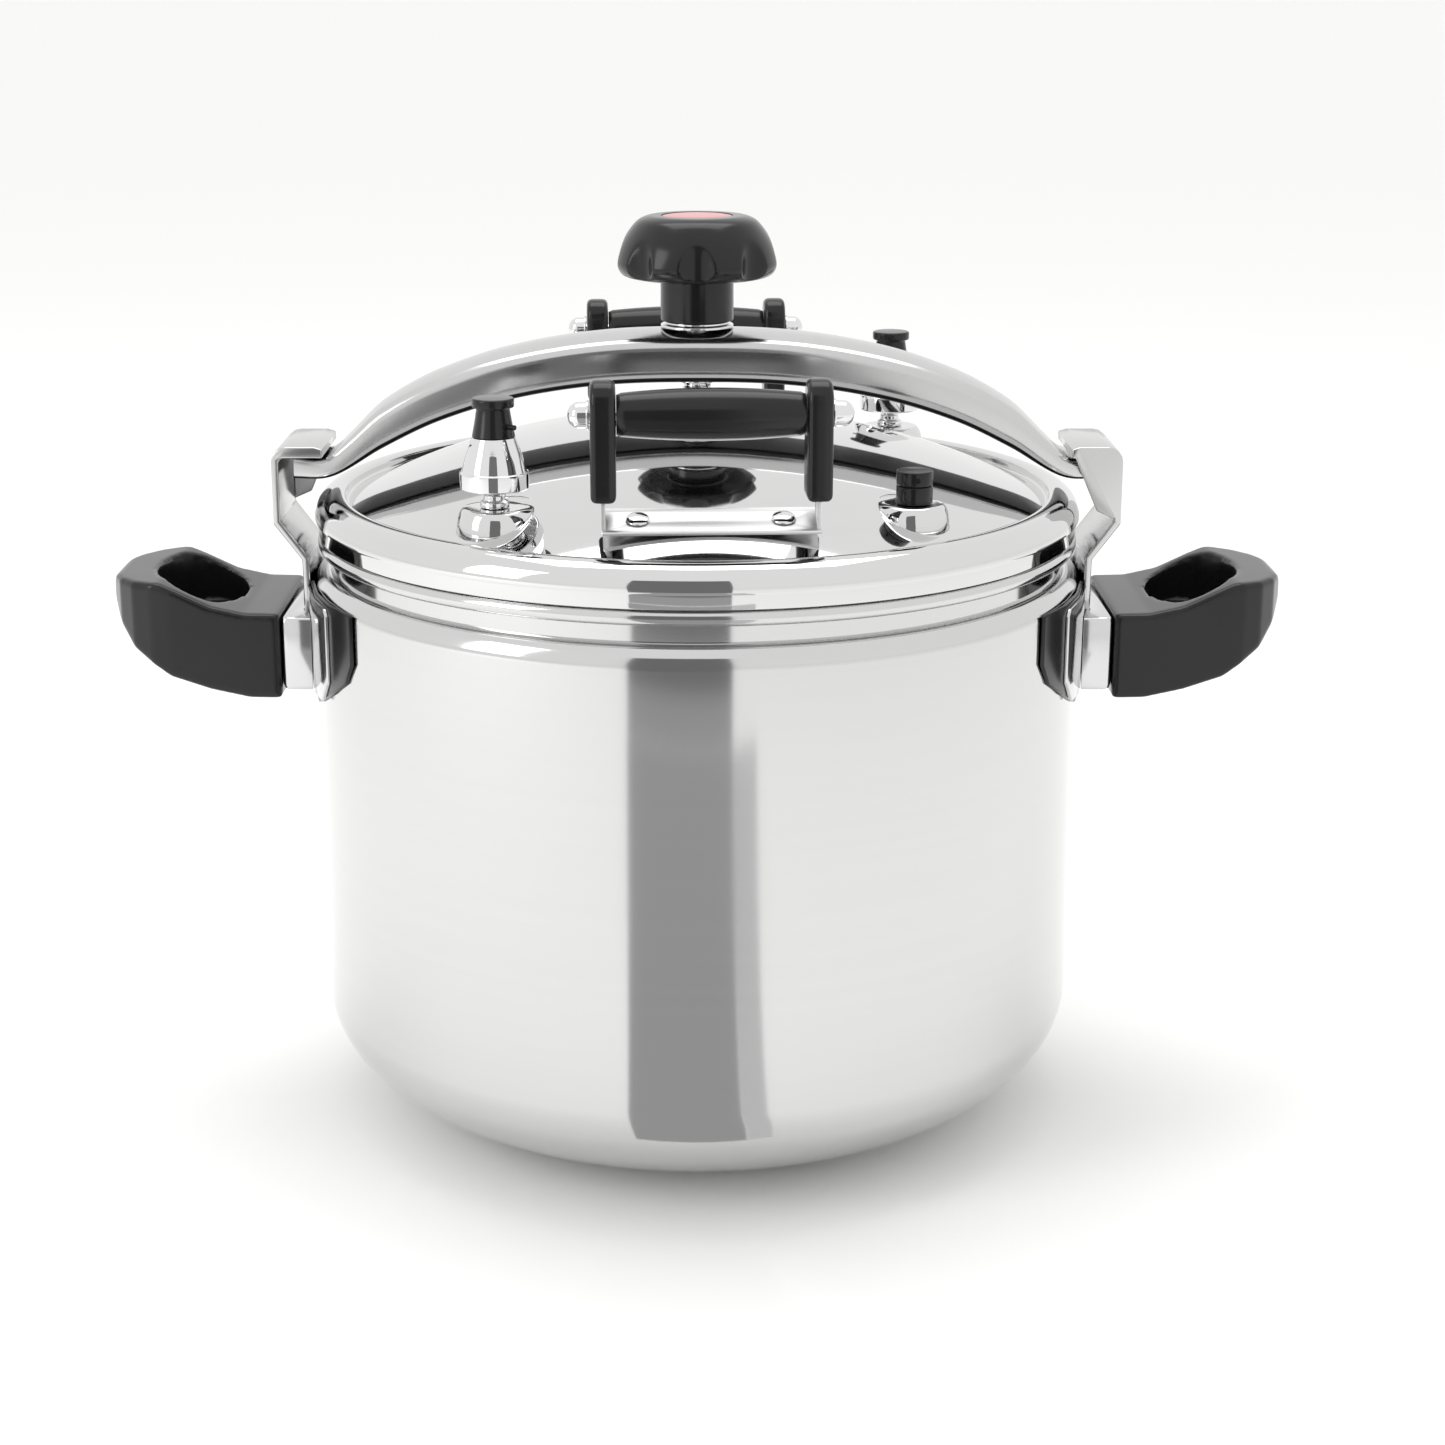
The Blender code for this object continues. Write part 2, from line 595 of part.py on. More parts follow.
def make_cheek(side):
    name = "lid_handle_cheek_front_" + ("left" if side < 0 else "right")
    middle = side * CHEEK_SPACING / 2
    low_z = LID_APEX_Z - CHEEK_BOTTOM
    high_z = LID_APEX_Z + CHEEK_TOP
    round_top = CHEEK_DEPTH * 0.42
    near = -HANDLE_RING_RADIUS - CHEEK_DEPTH / 2
    far = -HANDLE_RING_RADIUS + CHEEK_DEPTH / 2
    outline = [(near, low_z), (far, low_z)]
    outline += arc(far - round_top, high_z - round_top, round_top, round_top, 0, 90, 4)
    outline += arc(near + round_top, high_z - round_top, round_top, round_top, 90, 180, 4)
    cheek = prism(name, outline, "X", middle - CHEEK_THICKNESS / 2, middle + CHEEK_THICKNESS / 2, bakelite())
    soften(cheek, 0.0016, 1)
    ear_middle = side * (BRACKET_WIDTH - BRACKET_SHEET) / 2
    slot_half = BRACKET_SHEET / 2 + FIT_GAP
    slot_near = -HANDLE_RING_RADIUS - EAR_DEPTH / 2 - FIT_GAP
    slot_far = -HANDLE_RING_RADIUS + EAR_DEPTH / 2 + FIT_GAP
    slot_top = HANDLE_ROD_Z + EAR_DEPTH / 2 + FIT_GAP
    slot_low = (ear_middle - slot_half, slot_near, low_z - CUTTER_REACH)
    combine(cheek, box("slot", slot_low, (ear_middle + slot_half, slot_far, slot_top), None), "DIFFERENCE")
    combine(cheek, rod_hole(), "DIFFERENCE")
    cheek.data.materials.clear()
    cheek.data.materials.append(bakelite())
    return cheek


def lay_along_x(made):
    """Turns a piece made about Z so that its axis is the lid handle's rod."""
    spot = Matrix.Translation((0.0, -HANDLE_RING_RADIUS, HANDLE_ROD_Z))
    return move_mesh(made, spot @ Matrix.Rotation(math.pi / 2, 4, "Y"))


def make_bar():
    half = CHEEK_SPACING / 2 - CHEEK_THICKNESS / 2 - FIT_GAP
    bore = ROD_RADIUS + FIT_GAP
    profile = [(bore, -half)]
    for step in range(7):
        share = -1 + 2 * step / 6
        bulge = (1 - share**2) * (BAR_MIDDLE_RADIUS - BAR_END_RADIUS)
        profile.append((BAR_END_RADIUS + bulge, half * share))
    profile.append((bore, half))
    return lay_along_x(lathe("lid_handle_bar_front", profile, bakelite()))


def cheek_face():
    return CHEEK_SPACING / 2 + CHEEK_THICKNESS / 2


def make_rod():
    half = cheek_face() + CAP_NUT_LENGTH * 0.45
    rod = lathe("lid_handle_rod_front", cylinder_profile(ROD_RADIUS, -half, half), brushed_steel(), 12)
    return lay_along_x(rod)


def make_cap_nut(side):
    name = "lid_handle_cap_nut_front_" + ("left" if side < 0 else "right")
    face = cheek_face() + FIT_GAP
    bore = ROD_RADIUS + FIT_GAP
    blind = cheek_face() + CAP_NUT_LENGTH * 0.45 + FIT_GAP
    flange = CAP_NUT_RADIUS * 1.14
    straight = face + CAP_NUT_LENGTH * 0.45
    profile = [(0.0, blind), (bore, blind), (bore, face), (flange, face), (flange, face + 0.0012)]
    profile += [(CAP_NUT_RADIUS, face + 0.0012)]
    profile += arc(0.0, straight, CAP_NUT_RADIUS, CAP_NUT_LENGTH * 0.55, 0, 90, 3)[:-1]
    profile += [(0.0, face + CAP_NUT_LENGTH)]
    nut = lathe(name, profile, chrome(), 14)
    if side < 0:
        move_mesh(nut, Matrix.Rotation(math.pi, 4, "Y"))
    return lay_along_x(nut)


def make_rivet(side):
    name = "bracket_rivet_front_" + ("left" if side < 0 else "right")
    head_base = 2 * FIT_GAP + BRACKET_SHEET
    tail = -LID_WALL - FIT_GAP - 0.0026
    upset = RIVET_SHANK_RADIUS * 1.6
    profile = [(0.0, tail - 0.0012), (upset, tail - 0.0012), (upset, tail)]
    profile += [(RIVET_SHANK_RADIUS, tail), (RIVET_SHANK_RADIUS, head_base)]
    profile += arc(0.0, head_base, RIVET_HEAD_RADIUS, RIVET_HEAD_HEIGHT, 0, 90, 3)[:-1]
    profile += [(0.0, head_base + RIVET_HEAD_HEIGHT)]
    return move_mesh(lathe(name, profile, chrome(), 12), rivet_place(side))


def make_lid_handles(clocked_lid):
    rear_turn = joint_axis("lid_handle_rear_place", turn=math.pi, parent=clocked_lid)
    pieces = [make_bracket(), make_bar(), make_rod()]
    for side in (-1, 1):
        pieces += [make_cheek(side), make_cap_nut(side), make_rivet(side)]
    for piece in pieces:
        piece.parent = clocked_lid
        second_of(piece, piece.name.replace("front", "rear"), rear_turn)


def stud_place(angle, ring, parent, name):
    x = ring * math.sin(angle)
    y = -ring * math.cos(angle)
    return joint_axis(name, x, y, 0.0, angle, parent)


def make_hex_nut(name, ring):
    """A hexagonal body with a round bore."""
    top = dome_z(ring + NUT_RADIUS, LID_WALL) - FIT_GAP
    nut = lathe(name, cylinder_profile(NUT_RADIUS, top - NUT_HEIGHT, top), brushed_steel(), 6)
    bore = lathe("nut_bore", cylinder_profile(STUD_RADIUS + FIT_GAP, top - 0.02, top + 0.01), None, 12)
    combine(nut, bore, "DIFFERENCE")
    return nut


def make_vent_pipe():
    base = boss_top(REGULATOR_RING_RADIUS) + FIT_GAP
    shoulder = base + VENT_BASE_HEIGHT
    tip = base + VENT_PIPE_HEIGHT
    low = base - STUD_LENGTH
    ease = 0.001
    profile = [(VENT_BORE_RADIUS, low), (STUD_RADIUS, low), (STUD_RADIUS, base), (VENT_BASE_RADIUS, base)]
    profile += [(VENT_BASE_RADIUS, shoulder - ease), (VENT_BASE_RADIUS - ease, shoulder)]
    profile += [(VENT_PIPE_RADIUS, shoulder), (VENT_PIPE_RADIUS, tip - ease), (VENT_PIPE_RADIUS - ease, tip)]
    profile += [(VENT_BORE_RADIUS, tip)]
    return lathe("vent_pipe_front", profile, brushed_steel(), 12)


def weight_base():
    return boss_top(REGULATOR_RING_RADIUS) + WEIGHT_LIFT


def make_weight():
    base = weight_base()
    bore = VENT_PIPE_RADIUS + RUNNING_GAP
    seat = boss_top(REGULATOR_RING_RADIUS) + VENT_PIPE_HEIGHT + 2 * FIT_GAP
    top = base + WEIGHT_HEIGHT
    ease = 0.0006
    band_top = base + WEIGHT_BAND_HEIGHT
    cone_foot = WEIGHT_RADIUS - ease
    profile = [(0.0, seat), (bore, seat), (bore, base), (cone_foot, base), (WEIGHT_RADIUS, base + ease)]
    profile += [(WEIGHT_RADIUS, band_top - ease), (cone_foot, band_top)]
    for step in range(1, 5):
        share = step / 4
        bulge = math.sin(share * math.pi) * WEIGHT_BULGE
        reach = cone_foot + (WEIGHT_TOP_RADIUS - cone_foot) * share + bulge
        profile.append((reach, band_top + (top - band_top) * share))
    profile += [(0.0, top)]
    return lathe("regulator_weight_front", profile, chrome(), 24)


def make_grip():
    base = weight_base() + WEIGHT_HEIGHT + FIT_GAP
    neck = base + GRIP_NECK_HEIGHT
    top = neck + GRIP_DISC_HEIGHT
    disc = GRIP_DISC_RADIUS
    ease = 0.0008
    profile = [(0.0, base), (WEIGHT_TOP_RADIUS, base), (GRIP_NECK_RADIUS, neck), (disc - ease, neck)]
    profile += [(disc, neck + ease), (disc, top - ease), (disc - ease, top), (0.0, top)]
    grip = lathe("regulator_grip_front", profile, bakelite(), 16)
    start = GRIP_NECK_RADIUS * 0.5
    bore = GRIP_PIN_RADIUS + FIT_GAP
    hole = rod_along_x("pin_hole", bore, start - FIT_GAP, WEIGHT_RADIUS, 0.0, grip_pin_z(), 10)
    combine(grip, hole, "DIFFERENCE")
    grip.data.materials.clear()
    grip.data.materials.append(bakelite())
    return grip


def grip_pin_z():
    return weight_base() + WEIGHT_HEIGHT + GRIP_NECK_HEIGHT * 0.42


def make_grip_pin():
    start = GRIP_NECK_RADIUS * 0.5
    end = GRIP_NECK_RADIUS + GRIP_PIN_LENGTH * 0.75
    pin = rod_along_x("regulator_pin_front", GRIP_PIN_RADIUS, start, end, 0.0, grip_pin_z(), 10)
    pin.data.materials.append(bakelite())
    return pin


def make_regulators(clocked_lid):
    front = stud_place(FRONT_REGULATOR_ANGLE, REGULATOR_RING_RADIUS, clocked_lid, "regulator_front_axis")
    rear = stud_place(REAR_REGULATOR_ANGLE, REGULATOR_RING_RADIUS, clocked_lid, "regulator_rear_axis")
    pieces = [make_vent_pipe(), make_hex_nut("vent_nut_front", REGULATOR_RING_RADIUS)]
    pieces += [make_weight(), make_grip(), make_grip_pin()]
    for piece in pieces:
        piece.parent = front
        second_of(piece, piece.name.replace("front", "rear"), rear)


def valve_base():
    return boss_top(VALVE_RING_RADIUS) + FIT_GAP


def make_valve_body():
    base = valve_base()
    low = base - STUD_LENGTH
    top = base + VALVE_BODY_HEIGHT
    floor = top - VALVE_CHAMBER_DEPTH
    profile = [(VENT_BORE_RADIUS, low), (STUD_RADIUS, low), (STUD_RADIUS, base), (VALVE_RADIUS, base)]
    profile += [(VALVE_RADIUS, top - 0.0006), (VALVE_RADIUS - 0.0006, top), (VALVE_CHAMBER_RADIUS, top)]
    profile += [(VALVE_CHAMBER_RADIUS, floor), (VENT_BORE_RADIUS, floor)]
    return lathe("safety_valve_body", profile, bakelite(), 16)


def plunger_base():
    return valve_base() + VALVE_BODY_HEIGHT - VALVE_CHAMBER_DEPTH + FIT_GAP


def make_plunger():
    base = plunger_base()
    reach = VALVE_CHAMBER_RADIUS - RUNNING_GAP
    top = base + PLUNGER_HEIGHT
    profile = [(0.0, base), (reach, base), (reach, top - 0.001), (SPRING_RADIUS * 0.7, top - 0.001)]
    profile += [(SPRING_RADIUS * 0.7, top), (0.0, top)]
    return lathe("safety_valve_plunger", profile, brushed_steel(), 16)


def valve_cap_base():
    return valve_base() + VALVE_BODY_HEIGHT + FIT_GAP


def make_valve_cap():
    base = valve_cap_base()
    top = base + VALVE_CAP_HEIGHT
    ceiling = base + VALVE_CAP_CHAMBER
    profile = [(0.0, ceiling), (VALVE_CHAMBER_RADIUS, ceiling), (VALVE_CHAMBER_RADIUS, base)]
    profile += [(VALVE_RADIUS - 0.0005, base), (VALVE_RADIUS, base + 0.0005), (VALVE_RADIUS, top - 0.0008)]
    profile += [(VALVE_RADIUS - 0.0008, top), (0.0, top)]
    cap = lathe("safety_valve_cap", profile, bakelite(), 16)
    hole_z = base + VALVE_CAP_HEIGHT * 0.45
    for side in (-1, 1):
        low, high = sorted((side * VALVE_CHAMBER_RADIUS * 0.6, side * VALVE_RADIUS * 1.3))
        hole = rod_along_x("valve_hole", VALVE_HOLE_RADIUS, low, high, 0.0, hole_z, 10)
        move_mesh(hole, Matrix.Rotation(-math.pi / 2, 4, "Z"))
        combine(cap, hole, "DIFFERENCE")
    cap.data.materials.clear()
    cap.data.materials.append(bakelite())
    shade_round(cap)
    return cap


def make_valve_spring():
    low = plunger_base() + PLUNGER_HEIGHT - 0.001 + FIT_GAP + SPRING_WIRE_RADIUS
    high = valve_cap_base() + VALVE_CAP_CHAMBER - FIT_GAP - SPRING_WIRE_RADIUS
    bm = bmesh.new()
    steps = int(SPRING_TURNS * 10)
    sides = 4
    rings = []
    for step in range(steps + 1):
        share = step / steps
        angle = 2 * math.pi * SPRING_TURNS * share
        ring = []
        for corner in range(sides):
            around = 2 * math.pi * corner / sides
            reach = SPRING_RADIUS + SPRING_WIRE_RADIUS * math.cos(around)
            z = low + (high - low) * share + SPRING_WIRE_RADIUS * math.sin(around)
            ring.append(bm.verts.new((reach * math.cos(angle), reach * math.sin(angle), z)))
        rings.append(ring)
    for first, second in zip(rings, rings[1:]):
        for corner in range(sides):
            after = (corner + 1) % sides
            bm.faces.new([first[corner], first[after], second[after], second[corner]])
    bm.faces.new(rings[0])
    bm.faces.new(rings[-1])
    return new_object("safety_valve_spring", bm, brushed_steel())


def make_safety_valve(clocked_lid):
    axis = stud_place(VALVE_ANGLE, VALVE_RING_RADIUS, clocked_lid, "safety_valve_axis")
    pieces = [make_valve_body(), make_plunger(), make_valve_spring(), make_valve_cap()]
    pieces += [make_hex_nut("safety_valve_nut", VALVE_RING_RADIUS)]
    for piece in pieces:
        piece.parent = axis


def smooth_level(stations, x):
    """A smooth curve through (x, level) stations, level at both ends."""
    for i in range(len(stations) - 1):
        (x0, level0), (x1, level1) = stations[i], stations[i + 1]
        if x <= x1:
            break
    before = stations[max(i - 1, 0)]
    beyond = stations[min(i + 2, len(stations) - 1)]
    span = x1 - x0
    slope0 = 0.0 if i == 0 else (level1 - before[1]) / (x1 - before[0])
    slope1 = 0.0 if i + 2 == len(stations) else (beyond[1] - level0) / (beyond[0] - x0)
    t = (x - x0) / span
    square, cube = t * t, t * t * t
    start = (2 * cube - 3 * square + 1) * level0 + (cube - 2 * square + t) * slope0 * span
    return start + (3 * square - 2 * cube) * level1 + (cube - square) * slope1 * span


def bow_stations():
    """Stations along the bow's underside."""
    low, rise = BOW_END_UNDER_Z, BOW_UNDERSIDE_Z - BOW_END_UNDER_Z
    return [(BOW_HALF_SPAN * share, low + rise * level) for share, level in BOW_UNDERSIDE_SHARES]


def bow_thickness_stations():
    low, extra = BOW_END_THICKNESS, BOW_THICKNESS - BOW_END_THICKNESS
    return [(BOW_HALF_SPAN * share, low + extra * level) for share, level in BOW_THICKNESS_SHARES]


def bow_section(x):
    """(y, z) points round the bow at x: rounded edges and a slightly crowned top."""
    reach = abs(x)
    share = reach / BOW_HALF_SPAN
    half = BOW_HALF_WIDTH + (BOW_END_HALF_WIDTH - BOW_HALF_WIDTH) * share**2
    under = smooth_level(bow_stations(), reach)
    top = under + smooth_level(bow_thickness_stations(), reach)
    edge = min(BOW_EDGE_RADIUS, (top - under) * 0.3)
    crown = BOW_CROWN * (1 - share**4)
    points = arc(half - edge, under + edge, edge, edge, -90, 0, 2)
    points += arc(half - edge, top - crown - edge, edge, edge, 0, 90, 2)
    points += [(0.0, top)]
    points += arc(edge - half, top - crown - edge, edge, edge, 90, 180, 2)
    points += arc(edge - half, under + edge, edge, edge, 180, 270, 2)
    return points


def make_bow(bow_axis):
    bm = bmesh.new()
    steps = 28
    rings = []
    for step in range(steps + 1):
        x = BOW_HALF_SPAN * (2 * step / steps - 1)
        rings.append([bm.verts.new((x, y, z)) for y, z in bow_section(x)])
    count = len(rings[0])
    for first, second in zip(rings, rings[1:]):
        for i in range(count):
            after = (i + 1) % count
            bm.faces.new([first[i], first[after], second[after], second[i]])
    bm.faces.new(rings[0])
    bm.faces.new(rings[-1])
    bow = new_object("bow", bm, polished_steel())
    outline = cylinder_profile(BUSH_RADIUS + FIT_GAP, LID_APEX_Z, BOW_TOP_Z + CUTTER_REACH)
    hole = lathe("bush_hole", outline, None, 20)
    combine(bow, hole, "DIFFERENCE")
    bow.data.materials.clear()
    bow.data.materials.append(polished_steel())
    shade_round(bow)
    bow.parent = bow_axis


def make_bush(bow_axis):
    bore = SPINDLE_RADIUS + RUNNING_GAP
    flange_top = BOW_UNDERSIDE_Z - FIT_GAP
    upper = BOW_TOP_Z + FIT_GAP
    flange_base = flange_top - BUSH_FLANGE_HEIGHT
    profile = [(bore, flange_base), (BUSH_LOWER_FLANGE_RADIUS, flange_base)]
    profile += [(BUSH_LOWER_FLANGE_RADIUS, flange_top), (BUSH_RADIUS, flange_top), (BUSH_RADIUS, upper)]
    profile += [(BUSH_UPPER_FLANGE_RADIUS, upper), (BUSH_UPPER_FLANGE_RADIUS, upper + BUSH_FLANGE_HEIGHT)]
    profile += [(bore, upper + BUSH_FLANGE_HEIGHT)]
    lathe("bow_bush", profile, chrome()).parent = bow_axis


def make_spindle(knob_axis):
    ball_base = FOOT_BASE_Z + FOOT_FLOOR + RUNNING_GAP
    ball_top = ball_base + SPINDLE_BALL_HEIGHT
    neck_top = FOOT_TOP_Z + FIT_GAP
    collar = KNOB_BASE_Z - FIT_GAP - SPINDLE_COLLAR_HEIGHT
    top = KNOB_BASE_Z + KNOB_SOCKET_DEPTH - FIT_GAP
    ball = SPINDLE_BALL_RADIUS
    ease = 0.001
    collar_top = collar + SPINDLE_COLLAR_HEIGHT
    profile = [(0.0, ball_base), (ball - ease, ball_base), (ball, ball_base + ease), (ball, ball_top)]
    profile += [(SPINDLE_NECK_RADIUS, ball_top), (SPINDLE_NECK_RADIUS, neck_top)]
    profile += [(SPINDLE_RADIUS, neck_top + ease), (SPINDLE_RADIUS, collar), (SPINDLE_COLLAR_RADIUS, collar)]
    profile += [(SPINDLE_COLLAR_RADIUS, collar_top), (SPINDLE_RADIUS, collar_top)]
    profile += [(SPINDLE_RADIUS, top), (0.0, top)]
    lathe("spindle", profile, chrome()).parent = knob_axis


def make_foot(foot_axis):
    ball_bore = SPINDLE_BALL_RADIUS + RUNNING_GAP
    neck_bore = SPINDLE_NECK_RADIUS + RUNNING_GAP
    floor = FOOT_BASE_Z + FOOT_FLOOR
    ceiling = floor + SPINDLE_BALL_HEIGHT + 2 * RUNNING_GAP
    profile = [(0.0, FOOT_BASE_Z), (FOOT_RADIUS - 0.0008, FOOT_BASE_Z), (FOOT_RADIUS, FOOT_BASE_Z + 0.0008)]
    profile += [(FOOT_RADIUS, ceiling), (neck_bore + 0.0018, FOOT_TOP_Z), (neck_bore, FOOT_TOP_Z)]
    profile += [(neck_bore, ceiling), (ball_bore, ceiling), (ball_bore, floor), (0.0, floor)]
    lathe("pressure_foot", profile, chrome()).parent = foot_axis


def make_knob(knob_axis):
    neck_top = KNOB_BASE_Z + KNOB_NECK_HEIGHT
    top = neck_top + KNOB_HEAD_HEIGHT
    socket = SPINDLE_RADIUS + FIT_GAP
    recess = BADGE_RADIUS + FIT_GAP
    badge_floor = top - BADGE_HEIGHT * 0.8 - FIT_GAP

    cutter = KNOB_HEAD_RADIUS - KNOB_SCALLOP_DEPTH + KNOB_SCALLOP_RADIUS
    pitch = 2 * math.pi / KNOB_SCALLOPS

    def scalloped(radius, z, angle):
        """The reach left by a ring of upright round cutters."""
        swing = (angle + pitch / 2) % pitch - pitch / 2
        miss = KNOB_SCALLOP_RADIUS**2 - (cutter * math.sin(swing)) ** 2
        if z <= neck_top or miss <= 0.0:
            return radius
        return min(radius, cutter * math.cos(swing) - math.sqrt(miss))

    head = KNOB_HEAD_RADIUS
    profile = [(0.0, KNOB_BASE_Z + KNOB_SOCKET_DEPTH), (socket, KNOB_BASE_Z + KNOB_SOCKET_DEPTH)]
    profile += [(socket, KNOB_BASE_Z), (KNOB_NECK_RADIUS, KNOB_BASE_Z), (KNOB_NECK_RADIUS, neck_top)]
    profile += [(head * 0.78, neck_top), (head - 0.003, neck_top + 0.0015), (head, neck_top + 0.006)]
    profile += [(head - 0.0008, neck_top + 0.011), (head - 0.0035, neck_top + 0.018)]
    profile += [(head - 0.0075, neck_top + 0.024), (KNOB_TOP_RADIUS, top - 0.0018)]
    profile += [(KNOB_TOP_RADIUS - 0.005, top), (recess, top), (recess, badge_floor), (0.0, badge_floor)]
    lathe("knob", profile, bakelite(), 48, scalloped).parent = knob_axis
    base = badge_floor + FIT_GAP
    badge = [(0.0, base), (BADGE_RADIUS, base), (BADGE_RADIUS, base + BADGE_HEIGHT * 0.6)]
    badge += [(BADGE_RADIUS * 0.8, base + BADGE_HEIGHT * 0.95), (0.0, base + BADGE_HEIGHT)]
    lathe("knob_badge", badge, red_enamel(), 24).parent = knob_axis


def make_hook():
    knee = POT_HEIGHT - HOOK_KNEE_DROP
    shoulder = knee + HOOK_KNEE_RISE
    lip = BOW_END_TOP_Z + HOOK_LIP_GAP
    lip_top = lip + HOOK_LIP_SHEET
    lip_end = BOW_HALF_SPAN - HOOK_LIP_REACH
    root_outer = HOOK_ROOT_X + HOOK_SHEET
    outer = HOOK_PLATE_X + HOOK_SHEET
    bend = HOOK_LIP_SHEET + 0.002
    ease = HOOK_BEND_EASE
    outline = [(HOOK_ROOT_X, HOOK_BASE_Z), (HOOK_ROOT_X, knee), (HOOK_PLATE_X, shoulder)]
    outline += [(HOOK_PLATE_X, lip - 0.002), (HOOK_PLATE_X - 0.002, lip), (lip_end, lip)]
    outline += [(lip_end, lip_top - ease), (lip_end + 0.004, lip_top)]
    outline += arc(outer - bend, lip_top - bend, bend, bend, 90, 0, 4)
    outline += [(outer, shoulder - ease), (root_outer, knee - ease), (root_outer, HOOK_BASE_Z)]
    hook = prism("clamp_hook_right", outline, "Y", -HOOK_HALF_WIDTH, HOOK_HALF_WIDTH, polished_steel())
    flange = [(lip_end + 0.001, lip + 0.002), (lip_end + 0.006, lip - 0.010), (lip_end + 0.013, lip - 0.026)]
    flange += [(HOOK_PLATE_X + 0.001, shoulder + 0.001), (HOOK_PLATE_X + 0.002, lip + 0.002)]
    near = -HOOK_HALF_WIDTH
    combine(hook, prism("flange", flange, "Y", near, near + HOOK_FLANGE_SHEET, None), "UNION")
    hook.data.materials.clear()
    hook.data.materials.append(polished_steel())
    return hook


def wall_points(radius, half_steps):
    """Plan points on the pot's own facets, from the near side round to the far side."""
    step = 2 * math.pi / ROUND_SEGMENTS
    angles = [step * i for i in range(-half_steps, half_steps + 1)]
    return [(radius * math.cos(angle), radius * math.sin(angle)) for angle in angles]


def wall_shell(name, inner, outer, half_steps, side_view, finish):
    """A plate curved round the pot's wall, cut to its (y, z) outline and notched for the hook's root."""
    plan = wall_points(outer, half_steps) + list(reversed(wall_points(inner, half_steps)))
    levels = [z for _, z in side_view]
    shell = prism(name, plan, "Z", min(levels) - 0.001, max(levels) + 0.001, finish)
    combine(shell, prism("side_view", side_view, "X", 0.0, outer + CUTTER_REACH, None), "INTERSECT")
    half = HOOK_HALF_WIDTH + FIT_GAP
    notch = box("notch", (0.0, -half, HOOK_BASE_Z - FIT_GAP), (outer + CUTTER_REACH, half, POT_HEIGHT), None)
    combine(shell, notch, "DIFFERENCE")
    shell.data.materials.clear()
    shell.data.materials.append(finish)
    return shell


def make_guard():
    """A shield that follows the pot's wall, wide at the top and narrow at the foot."""
    top = SIDE_HANDLE_TOP_Z + GUARD_TOP_RISE
    half = wall_points(GUARD_OUTER_RADIUS, GUARD_HALF_STEPS)[-1][1] - 0.001
    outline = [(half * width, top - GUARD_HEIGHT * drop) for width, drop in GUARD_SHARES]
    outline += [(-y, z) for y, z in reversed(outline)]
    radii = GUARD_INNER_RADIUS, GUARD_OUTER_RADIUS
    return wall_shell("heat_guard_right", *radii, GUARD_HALF_STEPS, outline, bakelite())


def make_band():
    low = SIDE_HANDLE_BASE_Z + BAND_FOOT_RISE
    high = SIDE_HANDLE_TOP_Z + BAND_TOP_RISE
    half = wall_points(BAND_OUTER_RADIUS, BAND_HALF_STEPS)[-1][1] - 0.001
    foot = half - BAND_CORNER
    cut = BAND_CORNER / 4
    outline = [(-foot, low), (foot, low), (half, low + BAND_CORNER), (half, high - cut), (half - cut, high)]
    outline += [(cut - half, high), (-half, high - cut), (-half, low + BAND_CORNER)]
    radii = BAND_INNER_RADIUS, BAND_OUTER_RADIUS
    return wall_shell("mounting_band_right", *radii, BAND_HALF_STEPS, outline, brushed_steel())


def make_ferrule():
    """A block that fits round the band, with a tang that enters the grip."""
    half = SIDE_HANDLE_HALF_WIDTH - FERRULE_INSET
    low, high = SIDE_HANDLE_BASE_Z + FERRULE_FOOT_RISE, SIDE_HANDLE_TOP_Z - FERRULE_TOP_DROP
    inner = POT_RADIUS * 0.8
    ferrule = box("handle_ferrule_right", (inner, -half, low), (FERRULE_END_X, half, high), polished_steel())
    soften(ferrule, FERRULE_EDGE, 2)
    wall = wall_points(FERRULE_X, 5)
    wall += [(0.0, wall[-1][1]), (0.0, wall[0][1])]
    cutter = prism("wall", wall, "Z", low - CUTTER_REACH, high + CUTTER_REACH, None)
    combine(ferrule, cutter, "DIFFERENCE")
    gap = FIT_GAP
    pocket_low = (inner, -HOOK_HALF_WIDTH - gap, HOOK_BASE_Z - gap)
    pocket_high = (HOOK_ROOT_X + HOOK_SHEET + gap, HOOK_HALF_WIDTH + gap, high + CUTTER_REACH)
    combine(ferrule, box("hook_pocket", pocket_low, pocket_high, None), "DIFFERENCE")
    tang_low = (FERRULE_END_X - TANG_OVERLAP, -TANG_HALF_WIDTH, TANG_BASE_Z)
    tang = box("tang", tang_low, (SIDE_HANDLE_X + TANG_LENGTH, TANG_HALF_WIDTH, TANG_TOP_Z), None)
    combine(ferrule, tang, "UNION")
    end = TANG_BASE_Z + HANDLE_SCREW_BITE + 2 * gap
    outline = cylinder_profile(HANDLE_SCREW_RADIUS + gap, TANG_BASE_Z - CUTTER_REACH, end)
    hole = lathe("screw_hole", outline, None, 12)
    combine(ferrule, move_mesh(hole, Matrix.Translation((HANDLE_SCREW_X, 0.0, 0.0))), "DIFFERENCE")
    ferrule.data.materials.clear()
    ferrule.data.materials.append(polished_steel())
    return ferrule


